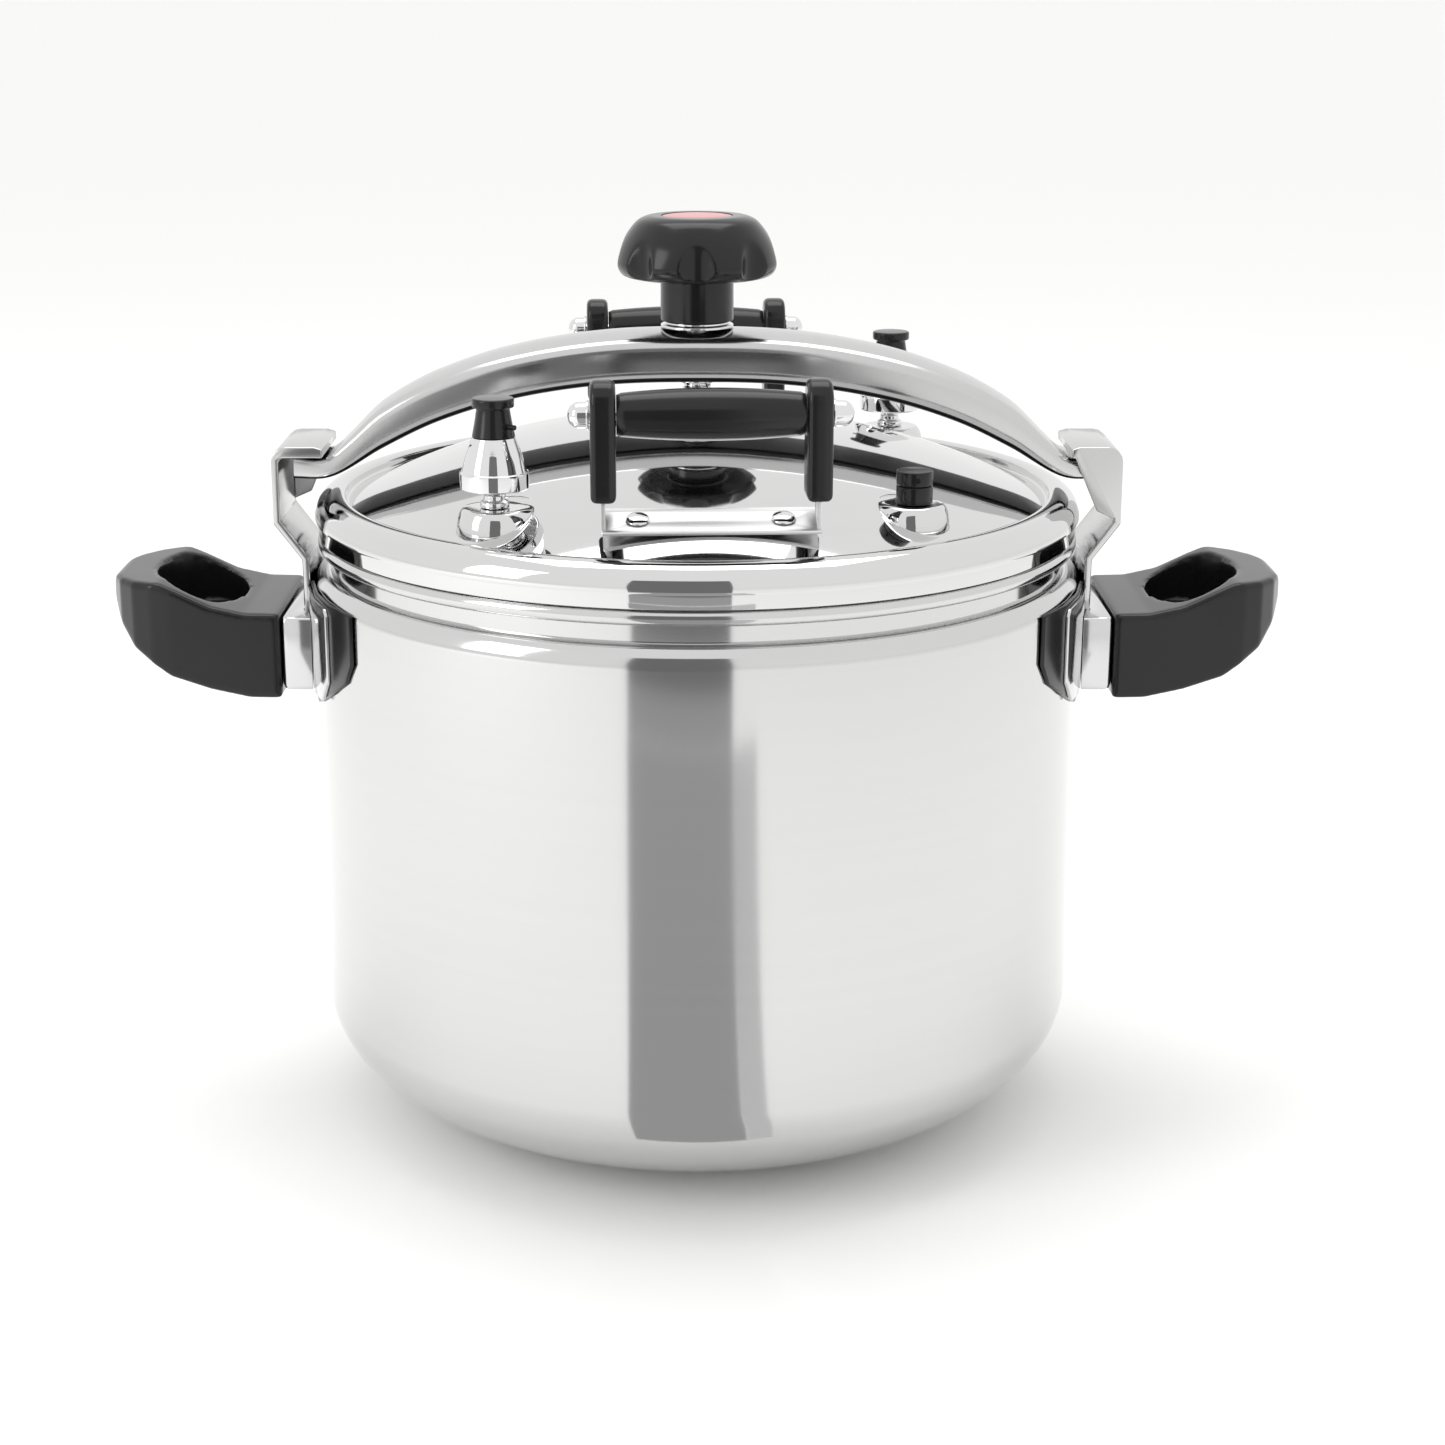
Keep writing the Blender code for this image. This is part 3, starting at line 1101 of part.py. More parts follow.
def handle_side_view():
    """(x, z) outline: level at the ferrule, dipping under the thumb and rising to a hump at the tip."""
    start, length = SIDE_HANDLE_X, SIDE_HANDLE_LENGTH
    base, top = SIDE_HANDLE_BASE_Z, SIDE_HANDLE_TOP_Z
    outline = [(start - CUTTER_REACH, base)]
    outline += [(start + length * along, base + rise) for along, rise in HANDLE_BELLY]
    outline += [(start + length * along, top + SIDE_HANDLE_HUMP * rise) for along, rise in HANDLE_BACK]
    return outline + [(start - CUTTER_REACH, top)]


def make_side_handle():
    start, length = SIDE_HANDLE_X, SIDE_HANDLE_LENGTH
    half = SIDE_HANDLE_HALF_WIDTH
    top, base = SIDE_HANDLE_TOP_Z, SIDE_HANDLE_BASE_Z
    round_start = start + length * 0.62
    plan = [(start, -half), (round_start, -half)]
    plan += arc(round_start, 0.0, start + length - round_start, half, -75, 75, 8)
    plan += [(round_start, half), (start, half)]
    reach = CUTTER_REACH
    handle = prism("side_handle_right", plan, "Z", base - reach, top + SIDE_HANDLE_HUMP + reach, bakelite())
    side = prism("side_view", handle_side_view(), "Y", -half - reach, half + reach, None)
    combine(handle, side, "INTERSECT")
    soften(handle, SIDE_HANDLE_EDGE, 2, math.radians(28))
    pocket_half = POCKET_LENGTH / 2
    middle = start + POCKET_START + pocket_half
    outline = arc(middle, 0.0, pocket_half, POCKET_HALF_WIDTH, 0, 345, 23)
    pocket_top = top + SIDE_HANDLE_HUMP + reach
    pocket = prism("thumb_pocket", outline, "Z", top - POCKET_FLOOR_DROP, pocket_top, None)
    combine(handle, pocket, "DIFFERENCE")
    socket_low = (start - reach, -TANG_HALF_WIDTH - FIT_GAP, TANG_BASE_Z - FIT_GAP)
    socket_high = (start + TANG_LENGTH + FIT_GAP, TANG_HALF_WIDTH + FIT_GAP, TANG_TOP_Z + FIT_GAP)
    combine(handle, box("tang_socket", socket_low, socket_high, None), "DIFFERENCE")
    bore = HANDLE_SCREW_RADIUS + FIT_GAP
    head = HANDLE_SCREW_HEAD_RADIUS + FIT_GAP
    seat = HANDLE_SCREW_SEAT_Z
    end = TANG_BASE_Z + 0.001
    profile = [(0.0, base - reach), (head, base - reach), (head, seat), (bore, seat), (bore, end), (0.0, end)]
    hole = lathe("screw_way", profile, None, 16)
    combine(handle, move_mesh(hole, Matrix.Translation((HANDLE_SCREW_X, 0.0, 0.0))), "DIFFERENCE")
    handle.data.materials.clear()
    handle.data.materials.append(bakelite())
    shade_round(handle)
    return handle


def make_handle_screw():
    seat = HANDLE_SCREW_SEAT_Z - FIT_GAP
    low = seat - HANDLE_SCREW_HEAD_HEIGHT
    top = TANG_BASE_Z + HANDLE_SCREW_BITE
    head = HANDLE_SCREW_HEAD_RADIUS
    ease = 0.0006
    profile = [(0.0, low), (head - ease, low), (head, low + ease), (head, seat)]
    profile += [(HANDLE_SCREW_RADIUS, seat), (HANDLE_SCREW_RADIUS, top), (0.0, top)]
    screw = lathe("handle_screw_right", profile, brushed_steel(), 16)
    return move_mesh(screw, Matrix.Translation((HANDLE_SCREW_X, 0.0, 0.0)))


def make_pot_fittings():
    left_turn = joint_axis("left_fittings_place", turn=math.pi)
    pieces = [make_guard(), make_band(), make_ferrule(), make_hook(), make_side_handle(), make_handle_screw()]
    for piece in pieces:
        second_of(piece, piece.name.replace("right", "left"), left_turn)


def build():
    clear_scene()
    make_pot()
    make_pot_fittings()
    lid_axis = joint_axis("lid_axis")
    clocked_lid = joint_axis("lid_clocking", turn=LID_CLOCKING, parent=lid_axis)
    make_lid(clocked_lid)
    make_gasket(clocked_lid)
    make_centre_seat(clocked_lid)
    make_lid_handles(clocked_lid)
    make_regulators(clocked_lid)
    make_safety_valve(clocked_lid)
    bow_axis = joint_axis("bow_axis", parent=lid_axis)
    foot_axis = joint_axis("foot_axis", parent=bow_axis)
    knob_axis = joint_axis("knob_axis", parent=foot_axis)
    make_bow(bow_axis)
    make_bush(bow_axis)
    make_foot(foot_axis)
    make_spindle(knob_axis)
    make_knob(knob_axis)


build()
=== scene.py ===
import math

import bmesh
import bpy
from mathutils import Matrix, Vector


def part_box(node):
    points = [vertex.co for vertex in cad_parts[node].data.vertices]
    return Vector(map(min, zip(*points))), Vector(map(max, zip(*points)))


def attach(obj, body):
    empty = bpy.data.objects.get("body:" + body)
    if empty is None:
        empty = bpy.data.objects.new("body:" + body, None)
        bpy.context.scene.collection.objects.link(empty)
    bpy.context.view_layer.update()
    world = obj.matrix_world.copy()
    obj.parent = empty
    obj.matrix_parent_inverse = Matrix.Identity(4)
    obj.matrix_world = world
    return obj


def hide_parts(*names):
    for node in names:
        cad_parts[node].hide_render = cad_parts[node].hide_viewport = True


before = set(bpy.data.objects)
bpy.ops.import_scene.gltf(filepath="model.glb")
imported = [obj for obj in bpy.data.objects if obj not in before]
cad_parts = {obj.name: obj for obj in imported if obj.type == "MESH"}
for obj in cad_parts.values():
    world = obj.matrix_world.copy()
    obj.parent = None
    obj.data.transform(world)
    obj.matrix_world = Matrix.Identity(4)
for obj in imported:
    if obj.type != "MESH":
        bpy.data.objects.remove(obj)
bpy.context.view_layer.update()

# The view, the floor and the studio light: a pale sweep under a white tent.
# The dark cards in front show only as the long reflection in the steel.

TARGET_Z = 0.205
VIEW_DISTANCE = 1.352
VIEW_ELEVATION = math.radians(15.66)
camera_data = bpy.data.cameras.new("camera")
camera_data.sensor_width = 36.0
camera_data.lens = 66.3
camera_data.shift_x = 0.0176
camera_data.shift_y = -0.0156
camera = bpy.data.objects.new("camera", camera_data)
camera.location = (
    0.0,
    -VIEW_DISTANCE * math.cos(VIEW_ELEVATION),
    TARGET_Z + VIEW_DISTANCE * math.sin(VIEW_ELEVATION),
)
camera.rotation_euler = (math.pi / 2 - VIEW_ELEVATION, 0.0, 0.0)
bpy.context.scene.collection.objects.link(camera)
bpy.context.scene.camera = camera
bpy.context.scene.view_settings.view_transform = "Standard"


def flat_sheet(name, corners):
    mesh = bpy.data.meshes.new(name)
    mesh.from_pydata([Vector(corner) for corner in corners], [], [list(range(len(corners)))])
    made = bpy.data.objects.new(name, mesh)
    bpy.context.scene.collection.objects.link(made)
    return made


def glowing(name, level):
    made = bpy.data.materials.new(name)
    made.use_nodes = True
    tree = made.node_tree
    tree.nodes.clear()
    glow = tree.nodes.new("ShaderNodeEmission")
    glow.inputs["Color"].default_value = (level, level, level, 1.0)
    out = tree.nodes.new("ShaderNodeOutputMaterial")
    tree.links.new(glow.outputs[0], out.inputs["Surface"])
    return made


def reflected_card(name, corners, level):
    """A card that shows in polished steel only."""
    card = flat_sheet(name, corners)
    card.data.materials.append(glowing(name, level))
    card.visible_camera = False
    card.visible_diffuse = False
    card.visible_shadow = False
    card.visible_transmission = False


FLOOR_REACH = 60.0
floor = flat_sheet(
    "floor",
    [(x * FLOOR_REACH, y * FLOOR_REACH, 0.0) for x, y in ((-1, -1), (1, -1), (1, 1), (-1, 1))],
)
floor_paint = bpy.data.materials.new("floor_paint")
floor_paint.use_nodes = True
floor_shader = floor_paint.node_tree.nodes["Principled BSDF"]
floor_shader.inputs["Base Color"].default_value = (0.965, 0.965, 0.96, 1.0)
floor_shader.inputs["Roughness"].default_value = 0.9
floor.data.materials.append(floor_paint)

# The strips start just in front of the pot and widen away from it, as the round wall spreads them.
STRIP_Z = 0.001
STRIP_START = -0.20
STRIP_END = -1.05
CARD_Y = -1.06
CARD_LEFT = -0.345
CARD_RIGHT = 0.170
CARD_STEP = 0.055
CARD_TOP = 0.90
DARK = 0.42


def floor_strip(name, near_left, near_right, far_left, far_right, level):
    near = [(near_left, STRIP_START, STRIP_Z), (near_right, STRIP_START, STRIP_Z)]
    far = [(far_right, STRIP_END, STRIP_Z), (far_left, STRIP_END, STRIP_Z)]
    reflected_card(name, near + far, level)


def front_card(name, low, high, level):
    foot = [(CARD_LEFT, CARD_Y, low), (CARD_RIGHT, CARD_Y, low)]
    head = [(CARD_RIGHT, CARD_Y, high), (CARD_LEFT, CARD_Y, high)]
    reflected_card(name, foot + head, level)


floor_strip("dark_floor_strip", -0.038, 0.031, CARD_LEFT, CARD_RIGHT, DARK)
front_card("dark_front_card", 0.0, CARD_STEP, DARK)
front_card("darker_front_card", CARD_STEP, CARD_TOP, 0.20)
floor_strip("grey_floor_strip", 0.032, 0.048, 0.172, 0.290, 0.70)

world = bpy.data.worlds.new("white_tent")
world.use_nodes = True
world.node_tree.nodes["Background"].inputs["Color"].default_value = (1.0, 1.0, 0.995, 1.0)
world.node_tree.nodes["Background"].inputs["Strength"].default_value = 0.98
bpy.context.scene.world = world


def soft_box(name, place, aim, size, watts):
    light = bpy.data.lights.new(name, "AREA")
    light.shape = "RECTANGLE"
    light.size = size[0]
    light.size_y = size[1]
    light.energy = watts
    made = bpy.data.objects.new(name, light)
    made.location = place
    made.rotation_euler = (Vector(aim) - Vector(place)).to_track_quat("-Z", "Y").to_euler()
    bpy.context.scene.collection.objects.link(made)


soft_box("top_box", (0.0, 0.4, 2.2), (0.0, 0.0, 0.2), (1.8, 1.2), 16.0)
soft_box("left_box", (-2.0, -1.2, 1.2), (0.0, 0.0, 0.25), (0.8, 1.6), 12.0)

# The pot: one deep drawing in stainless steel, mirror polished, with a rolled bead at its mouth.
# Its floor turns into the wall through a wide soft corner, and a neck is spun in under the bead.

POT_RADIUS = 0.1895
POT_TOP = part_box("pot")[1][2]
POT_WALL = 0.0025
ROUND_STEPS = 192


def link_mesh(name, bm):
    bmesh.ops.remove_doubles(bm, verts=bm.verts, dist=1e-7)
    bmesh.ops.recalc_face_normals(bm, faces=bm.faces)
    mesh = bpy.data.meshes.new(name)
    bm.to_mesh(mesh)
    bm.free()
    made = bpy.data.objects.new(name, mesh)
    bpy.context.scene.collection.objects.link(made)
    mesh.shade_smooth()
    mesh.set_sharp_from_angle(angle=math.radians(50))
    return made


def eased(corners, steps=5):
    """An outline from (a, b, radius) corners, each rounded by its radius where it has one."""
    points = []
    for i, corner in enumerate(corners):
        here = Vector(corner[:2])
        radius = corner[2] if len(corner) > 2 else 0.0
        if not radius or i in (0, len(corners) - 1):
            points.append(tuple(here))
            continue
        before = Vector(corners[i - 1][:2]) - here
        after = Vector(corners[i + 1][:2]) - here
        start = here + before.normalized() * min(radius, before.length * 0.48)
        end = here + after.normalized() * min(radius, after.length * 0.48)
        for step in range(steps + 1):
            t = step / steps
            points.append(tuple(start * (1 - t) ** 2 + here * 2 * t * (1 - t) + end * t**2))
    return points


def turned(name, outline, steps=ROUND_STEPS, place=None, reach_at=None):
    """Spins (radius, z) points about Z; ends off the axis are joined to each other."""
    bm = bmesh.new()
    rings = []
    for radius, z in outline:
        ring = []
        for step in range(1 if radius < 1e-6 else steps):
            angle = 2 * math.pi * step / steps
            reach = reach_at(radius, z, angle) if reach_at else radius
            ring.append(bm.verts.new((reach * math.cos(angle), reach * math.sin(angle), z)))
        rings.append(ring)
    pairs = list(zip(rings, rings[1:]))
    if len(rings[0]) > 1 and len(rings[-1]) > 1:
        pairs.append((rings[-1], rings[0]))
    for first, second in pairs:
        for step in range(steps):
            after = (step + 1) % steps
            corners = [first[step % len(first)], first[after % len(first)]]
            corners += [second[after % len(second)], second[step % len(second)]]
            corners = list(dict.fromkeys(corners))
            if len(corners) > 2:
                bm.faces.new(corners)
    if place:
        bm.transform(place)
    return link_mesh(name, bm)


def arc(centre_a, centre_b, reach_a, reach_b, start, end, steps):
    turn = [math.radians(start + (end - start) * step / steps) for step in range(steps + 1)]
    return [(centre_a + reach_a * math.cos(t), centre_b + reach_b * math.sin(t)) for t in turn]


def steel(name, colour, roughness, ring_scale, bump, wander):
    """Polished or spun steel: faint lines across ring_scale, and a slow drift in gloss."""
    made = bpy.data.materials.new(name)
    made.use_nodes = True
    tree = made.node_tree
    shader = tree.nodes["Principled BSDF"]
    shader.inputs["Metallic"].default_value = 1.0
    place = tree.nodes.new("ShaderNodeTexCoord")
    stretch = tree.nodes.new("ShaderNodeMapping")
    stretch.inputs["Scale"].default_value = ring_scale
    tree.links.new(place.outputs["Object"], stretch.inputs["Vector"])
    lines = tree.nodes.new("ShaderNodeTexNoise")
    lines.inputs["Scale"].default_value = 1.0
    lines.inputs["Detail"].default_value = 4.0
    tree.links.new(stretch.outputs["Vector"], lines.inputs["Vector"])
    drift = tree.nodes.new("ShaderNodeTexNoise")
    drift.inputs["Scale"].default_value = 9.0
    tree.links.new(place.outputs["Object"], drift.inputs["Vector"])
    gloss = tree.nodes.new("ShaderNodeMapRange")
    gloss.inputs["To Min"].default_value = roughness * (1 - wander)
    gloss.inputs["To Max"].default_value = roughness * (1 + wander)
    tree.links.new(drift.outputs["Fac"], gloss.inputs["Value"])
    tree.links.new(gloss.outputs["Result"], shader.inputs["Roughness"])
    shade = tree.nodes.new("ShaderNodeMix")
    shade.data_type = "RGBA"
    shade.inputs["A"].default_value = (*[c * 0.965 for c in colour], 1.0)
    shade.inputs["B"].default_value = (*colour, 1.0)
    tree.links.new(lines.outputs["Fac"], shade.inputs["Factor"])
    tree.links.new(shade.outputs["Result"], shader.inputs["Base Color"])
    relief = tree.nodes.new("ShaderNodeBump")
    relief.inputs["Strength"].default_value = bump
    relief.inputs["Distance"].default_value = 0.0002
    tree.links.new(lines.outputs["Fac"], relief.inputs["Height"])
    tree.links.new(relief.outputs["Normal"], shader.inputs["Normal"])
    return made


mirror_steel = steel("mirror_steel", (0.665, 0.665, 0.665), 0.10, (3.0, 3.0, 260.0), 0.012, 0.35)


def fitted(piece, body, finish, slot_name, *replaced):
    """Gives a piece its finish and puts it on its body in place of the solids it stands for."""
    piece.data.materials.clear()
    piece.data.materials.append(finish)
    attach(piece, body)
    if replaced:
        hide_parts(*replaced)


CORNER_REACH = 0.115
CORNER_HEIGHT = 0.062
FLOOR_SHEET = 0.005
NECK_DEPTH = 0.0085
NECK_RADIUS = POT_RADIUS - NECK_DEPTH
BEAD_HEIGHT = 0.0075
NECK_TOP = POT_TOP - BEAD_HEIGHT
NECK_HEIGHT = 0.008
NECK_BASE = NECK_TOP - NECK_HEIGHT
SHOULDER = 0.011
BEAD_CENTRE = POT_RADIUS - 0.0057
BEAD_REACH = 0.0037
MOUTH_RADIUS = NECK_RADIUS - POT_WALL
MOUTH_EASE = 0.001
corner_centre = POT_RADIUS - CORNER_REACH
pot_outline = [(0.0, 0.0)]
pot_outline += arc(corner_centre, CORNER_HEIGHT, CORNER_REACH, CORNER_HEIGHT, -90, 0, 40)
pot_outline += arc(NECK_RADIUS, NECK_BASE - SHOULDER, NECK_DEPTH, SHOULDER, 0, 90, 14)
pot_outline += eased([(NECK_RADIUS, NECK_BASE), (NECK_RADIUS, NECK_TOP - 0.001), (NECK_RADIUS, NECK_TOP)], 4)
pot_outline += arc(BEAD_CENTRE, NECK_TOP + BEAD_HEIGHT / 2, BEAD_REACH, BEAD_HEIGHT / 2, -80, 90, 14)
mouth = [(MOUTH_RADIUS + MOUTH_EASE, POT_TOP), (MOUTH_RADIUS, POT_TOP, MOUTH_EASE), (MOUTH_RADIUS, NECK_BASE)]
pot_outline += eased(mouth)
pot_outline += arc(MOUTH_RADIUS, NECK_BASE - SHOULDER, NECK_DEPTH, SHOULDER - POT_WALL, 80, 0, 10)
inner_reach = CORNER_REACH - POT_WALL
pot_outline += arc(corner_centre, CORNER_HEIGHT, inner_reach, CORNER_HEIGHT - FLOOR_SHEET, 0, -90, 30)
pot_outline += [(0.0, FLOOR_SHEET)]
pot = turned("pot_shell", pot_outline)
fitted(pot, "pot_body", mirror_steel, "polished_steel", "pot")

# The lid: a shallow dome pressed from sheet, its edge rolled over and stepped down into a skirt.
# Round pads are pressed up level under the two vent pipes and the safety valve.

LID_RADIUS = 0.1885
FIT_GAP = 0.0003
LID_BASE = POT_TOP + FIT_GAP
SKIRT_TOP = LID_BASE + 0.0075
RIM_TOP = SKIRT_TOP + 0.0123
LID_SHEET = 0.0025
DOME_EDGE = LID_RADIUS - 0.0145 - LID_SHEET * 0.5
DOME_EDGE_Z = RIM_TOP - LID_SHEET * 2.4
DOME_RISE = 0.040
DOME_RADIUS = (DOME_EDGE**2 + DOME_RISE**2) / (2 * DOME_RISE)
DOME_CENTRE = DOME_EDGE_Z + DOME_RISE - DOME_RADIUS
LID_TOP = DOME_EDGE_Z + DOME_RISE


def dome_z(radius, inset=0.0):
    return DOME_CENTRE + math.sqrt((DOME_RADIUS - inset) ** 2 - radius**2)


SKIRT_SHEET = 0.0014
GASKET_GROOVE = 0.0049
GROOVE_RADIUS = 0.1780
skirt = LID_RADIUS - SKIRT_SHEET
dome_line = [(DOME_EDGE * share / 40, dome_z(DOME_EDGE * share / 40)) for share in range(40)]
lid_corners = [(DOME_EDGE - 0.0035, dome_z(DOME_EDGE - 0.0035)), (DOME_EDGE, DOME_EDGE_Z, 0.0028)]
lid_corners += [(LID_RADIUS - 0.0150, RIM_TOP - 0.0006, 0.0014), (LID_RADIUS - 0.0120, RIM_TOP)]
lid_outline = dome_line[:-1] + eased(lid_corners, 8)
lid_outline += arc(LID_RADIUS - 0.011, SKIRT_TOP + 0.0012, 0.011, 0.0111, 90, -4, 22)
skirt_line = [(skirt + 0.0004, SKIRT_TOP + 0.0003), (skirt, SKIRT_TOP - 0.0004, 0.0006)]
skirt_line += [(skirt, LID_BASE, 0.0006), (skirt - SKIRT_SHEET, LID_BASE)]
lid_outline += eased(skirt_line)
ceiling = LID_BASE + GASKET_GROOVE
lid_outline += [(skirt - SKIRT_SHEET, ceiling), (GROOVE_RADIUS, ceiling)]
inside_radii = [(DOME_EDGE - LID_SHEET) * (24 - step) / 24 for step in range(25)]
lid_outline += [(radius, dome_z(radius, LID_SHEET)) for radius in inside_radii]
lid = turned("lid_dome", lid_outline)
lid_steel = steel("lid_steel", (0.72, 0.72, 0.72), 0.045, (3.0, 3.0, 260.0), 0.010, 0.35)
fitted(lid, "lid_body", lid_steel, "polished_steel", "lid")

LID_TURN = Matrix.Rotation(math.radians(2.5), 4, "Z")


def on_lid(angle, ring):
    """The axis of a fitting at an angle from the front of the lid."""
    turn = math.radians(angle)
    spot = Matrix.Translation((ring * math.sin(turn), -ring * math.cos(turn), 0.0))
    return LID_TURN @ spot @ Matrix.Rotation(turn, 4, "Z")


REGULATOR_RING = 0.1465
VALVE_RING = 0.1457
BOSS_STAND_OUT = 0.0052
REGULATOR_PAD_RADIUS = 0.0178
VALVE_PAD_RADIUS = 0.0164
REGULATOR_PLACES = {"front": on_lid(-41.3, REGULATOR_RING), "rear": on_lid(133.1, REGULATOR_RING)}
VALVE_PLACE = on_lid(40.4, VALVE_RING)


def boss_pad(name, place, ring, radius):
    """Level in the middle, rounded over at its edge and let into the dome all round."""
    bm = bmesh.new()
    top = dome_z(ring) + BOSS_STAND_OUT
    flat_share, edge_share, foot_share = 0.80, 0.20, 0.15
    least_rise, thickness = 0.00015, 0.0006
    shares = [0.24, 0.5, 0.7, flat_share, 0.85, 0.89, 0.925, 0.955, 0.975, 0.99, 1.0, 1.01, 1.035, 1.08, 1.15]
    steps = 72
    rings = []
    for share in shares:
        ring_points = []
        for step in range(steps):
            around = 2 * math.pi * step / steps
            x = radius * share * math.cos(around)
            y = radius * share * math.sin(around)
            ground = dome_z(math.hypot(x, y - ring))
            if share <= flat_share:
                z = max(top, ground + least_rise)
            elif share <= 1.0:
                fall = (share - flat_share) / edge_share
                round_over = math.sqrt(max(0.0, 1 - fall**2))
                z = ground + max(top - ground, least_rise) * round_over * (1 - 0.15 * fall)
            else:
                z = ground - 0.0002 + 0.0004 * (shares[-1] - share) / foot_share
            ring_points.append(bm.verts.new((x, y, z)))
        rings.append(ring_points)
    for first, second in zip(rings, rings[1:]):
        for step in range(steps):
            after = (step + 1) % steps
            bm.faces.new([first[step], first[after], second[after], second[step]])
    under = [bm.verts.new((v.co.x, v.co.y, v.co.z - thickness)) for v in rings[-1]]
    inner = [bm.verts.new((v.co.x, v.co.y, dome_z(ring) - thickness)) for v in rings[0]]
    for step in range(steps):
        after = (step + 1) % steps
        bm.faces.new([rings[-1][step], rings[-1][after], under[after], under[step]])
        bm.faces.new([under[step], under[after], inner[after], inner[step]])
        bm.faces.new([inner[step], inner[after], rings[0][after], rings[0][step]])
    bm.transform(place)
    pad = link_mesh(name, bm)
    fitted(pad, "lid_body", lid_steel, "polished_steel")


for end, place in REGULATOR_PLACES.items():
    boss_pad("regulator_boss_" + end, place, REGULATOR_RING, REGULATOR_PAD_RADIUS)
boss_pad("valve_boss", VALVE_PLACE, VALVE_RING, VALVE_PAD_RADIUS)

# The gasket and the small turned seat at the lid's crown.
# The gasket is a moulded grey silicone ring; the seat is a turned steel disc under the screw's foot.


def mottled(name, roughness, scale, dark, pale):
    """A dull finish whose colour drifts between two close tones."""
    made = bpy.data.materials.new(name)
    made.use_nodes = True
    tree = made.node_tree
    shader = tree.nodes["Principled BSDF"]
    shader.inputs["Roughness"].default_value = roughness
    place = tree.nodes.new("ShaderNodeTexCoord")
    drift = tree.nodes.new("ShaderNodeTexNoise")
    drift.inputs["Scale"].default_value = scale
    tone = tree.nodes.new("ShaderNodeValToRGB")
    tone.color_ramp.elements[0].color = (*dark, 1.0)
    tone.color_ramp.elements[1].color = (*pale, 1.0)
    tree.links.new(place.outputs["Object"], drift.inputs["Vector"])
    tree.links.new(drift.outputs["Fac"], tone.inputs["Fac"])
    tree.links.new(tone.outputs["Color"], shader.inputs["Base Color"])
    return made


rubber = mottled("grey_silicone", 0.6, 180.0, (0.36, 0.36, 0.35), (0.46, 0.46, 0.45))
plain_steel = steel("plain_steel", (0.66, 0.66, 0.665), 0.20, (420.0, 18.0, 420.0), 0.06, 0.3)
bright_chrome = steel("bright_chrome", (0.78, 0.78, 0.785), 0.045, (60.0, 60.0, 900.0), 0.010, 0.4)


def node_finish(node, finish):
    """A solid whose shape is already right keeps its mesh and gets its real finish."""
    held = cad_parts[node]
    for spot in held.material_slots:
        spot.material = finish
    if not held.material_slots:
        held.data.materials.append(finish)


def z_range(node):
    low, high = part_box(node)
    return low[2], high[2]


node_finish("lid_gasket", rubber)
valve_inside = ["safety_valve_nut", "safety_valve_spring", "safety_valve_plunger"]
for hidden in ["vent_nut_front", "vent_nut_rear"] + valve_inside:
    node_finish(hidden, plain_steel)

SEAT_RADIUS = 0.014
seat_low, seat_high = z_range("centre_seat")
seat_corners = [(0.0, seat_low), (SEAT_RADIUS, seat_low, 0.0004), (SEAT_RADIUS, seat_high, 0.0009)]
seat_outline = eased(seat_corners + [(0.0, seat_high)])
fitted(turned("crown_seat", seat_outline, 72), "lid_body", plain_steel, "brushed_steel", "centre_seat")

# The bow: a forged and polished bar that springs over the lid from hook to hook.
# Its edges are rounded, its top is crowned, and its ends thin down to flat tongues.
# Its downward faces get a near-black steel as painted shade, though the real underside is the same polished
# steel.

HALF_SPAN = 0.197
HALF_WIDTH = 0.023
END_HALF_WIDTH = 0.020
BOW_UNDER = LID_TOP + 0.0188
BOW_DEPTH = 0.0245
END_DEPTH = 0.0105
END_UNDER = RIM_TOP + 0.0055
BOW_EDGE = 0.0065
BOW_CROWN = 0.0025
PAINTED_SHADE_TILT = -0.55


def smooth_level(stations, x):
    """A smooth curve through (x, level) stations, level at both ends."""
    for i in range(len(stations) - 1):
        (x0, level0), (x1, level1) = stations[i], stations[i + 1]
        if x <= x1:
            break
    before = stations[max(i - 1, 0)]
    beyond = stations[min(i + 2, len(stations) - 1)]
    span = x1 - x0
    slope0 = 0.0 if i == 0 else (level1 - before[1]) / (x1 - before[0])
    slope1 = 0.0 if i + 2 == len(stations) else (beyond[1] - level0) / (beyond[0] - x0)
    t = (x - x0) / span
    start = (2 * t**3 - 3 * t**2 + 1) * level0 + (t**3 - 2 * t**2 + t) * slope0 * span
    return start + (3 * t**2 - 2 * t**3) * level1 + (t**3 - t**2) * slope1 * span


UNDER_SHARES = [(0.0, 1.0), (0.24, 0.965), (0.46, 0.82), (0.64, 0.59), (0.78, 0.31), (0.88, 0.065)]
UNDER_SHARES += [(0.93, 0.0), (1.0, 0.0)]
DEPTH_SHARES = [(0.0, 1.0), (0.35, 0.98), (0.6, 0.93), (0.78, 0.80), (0.87, 0.36), (0.925, 0.0), (1.0, 0.0)]


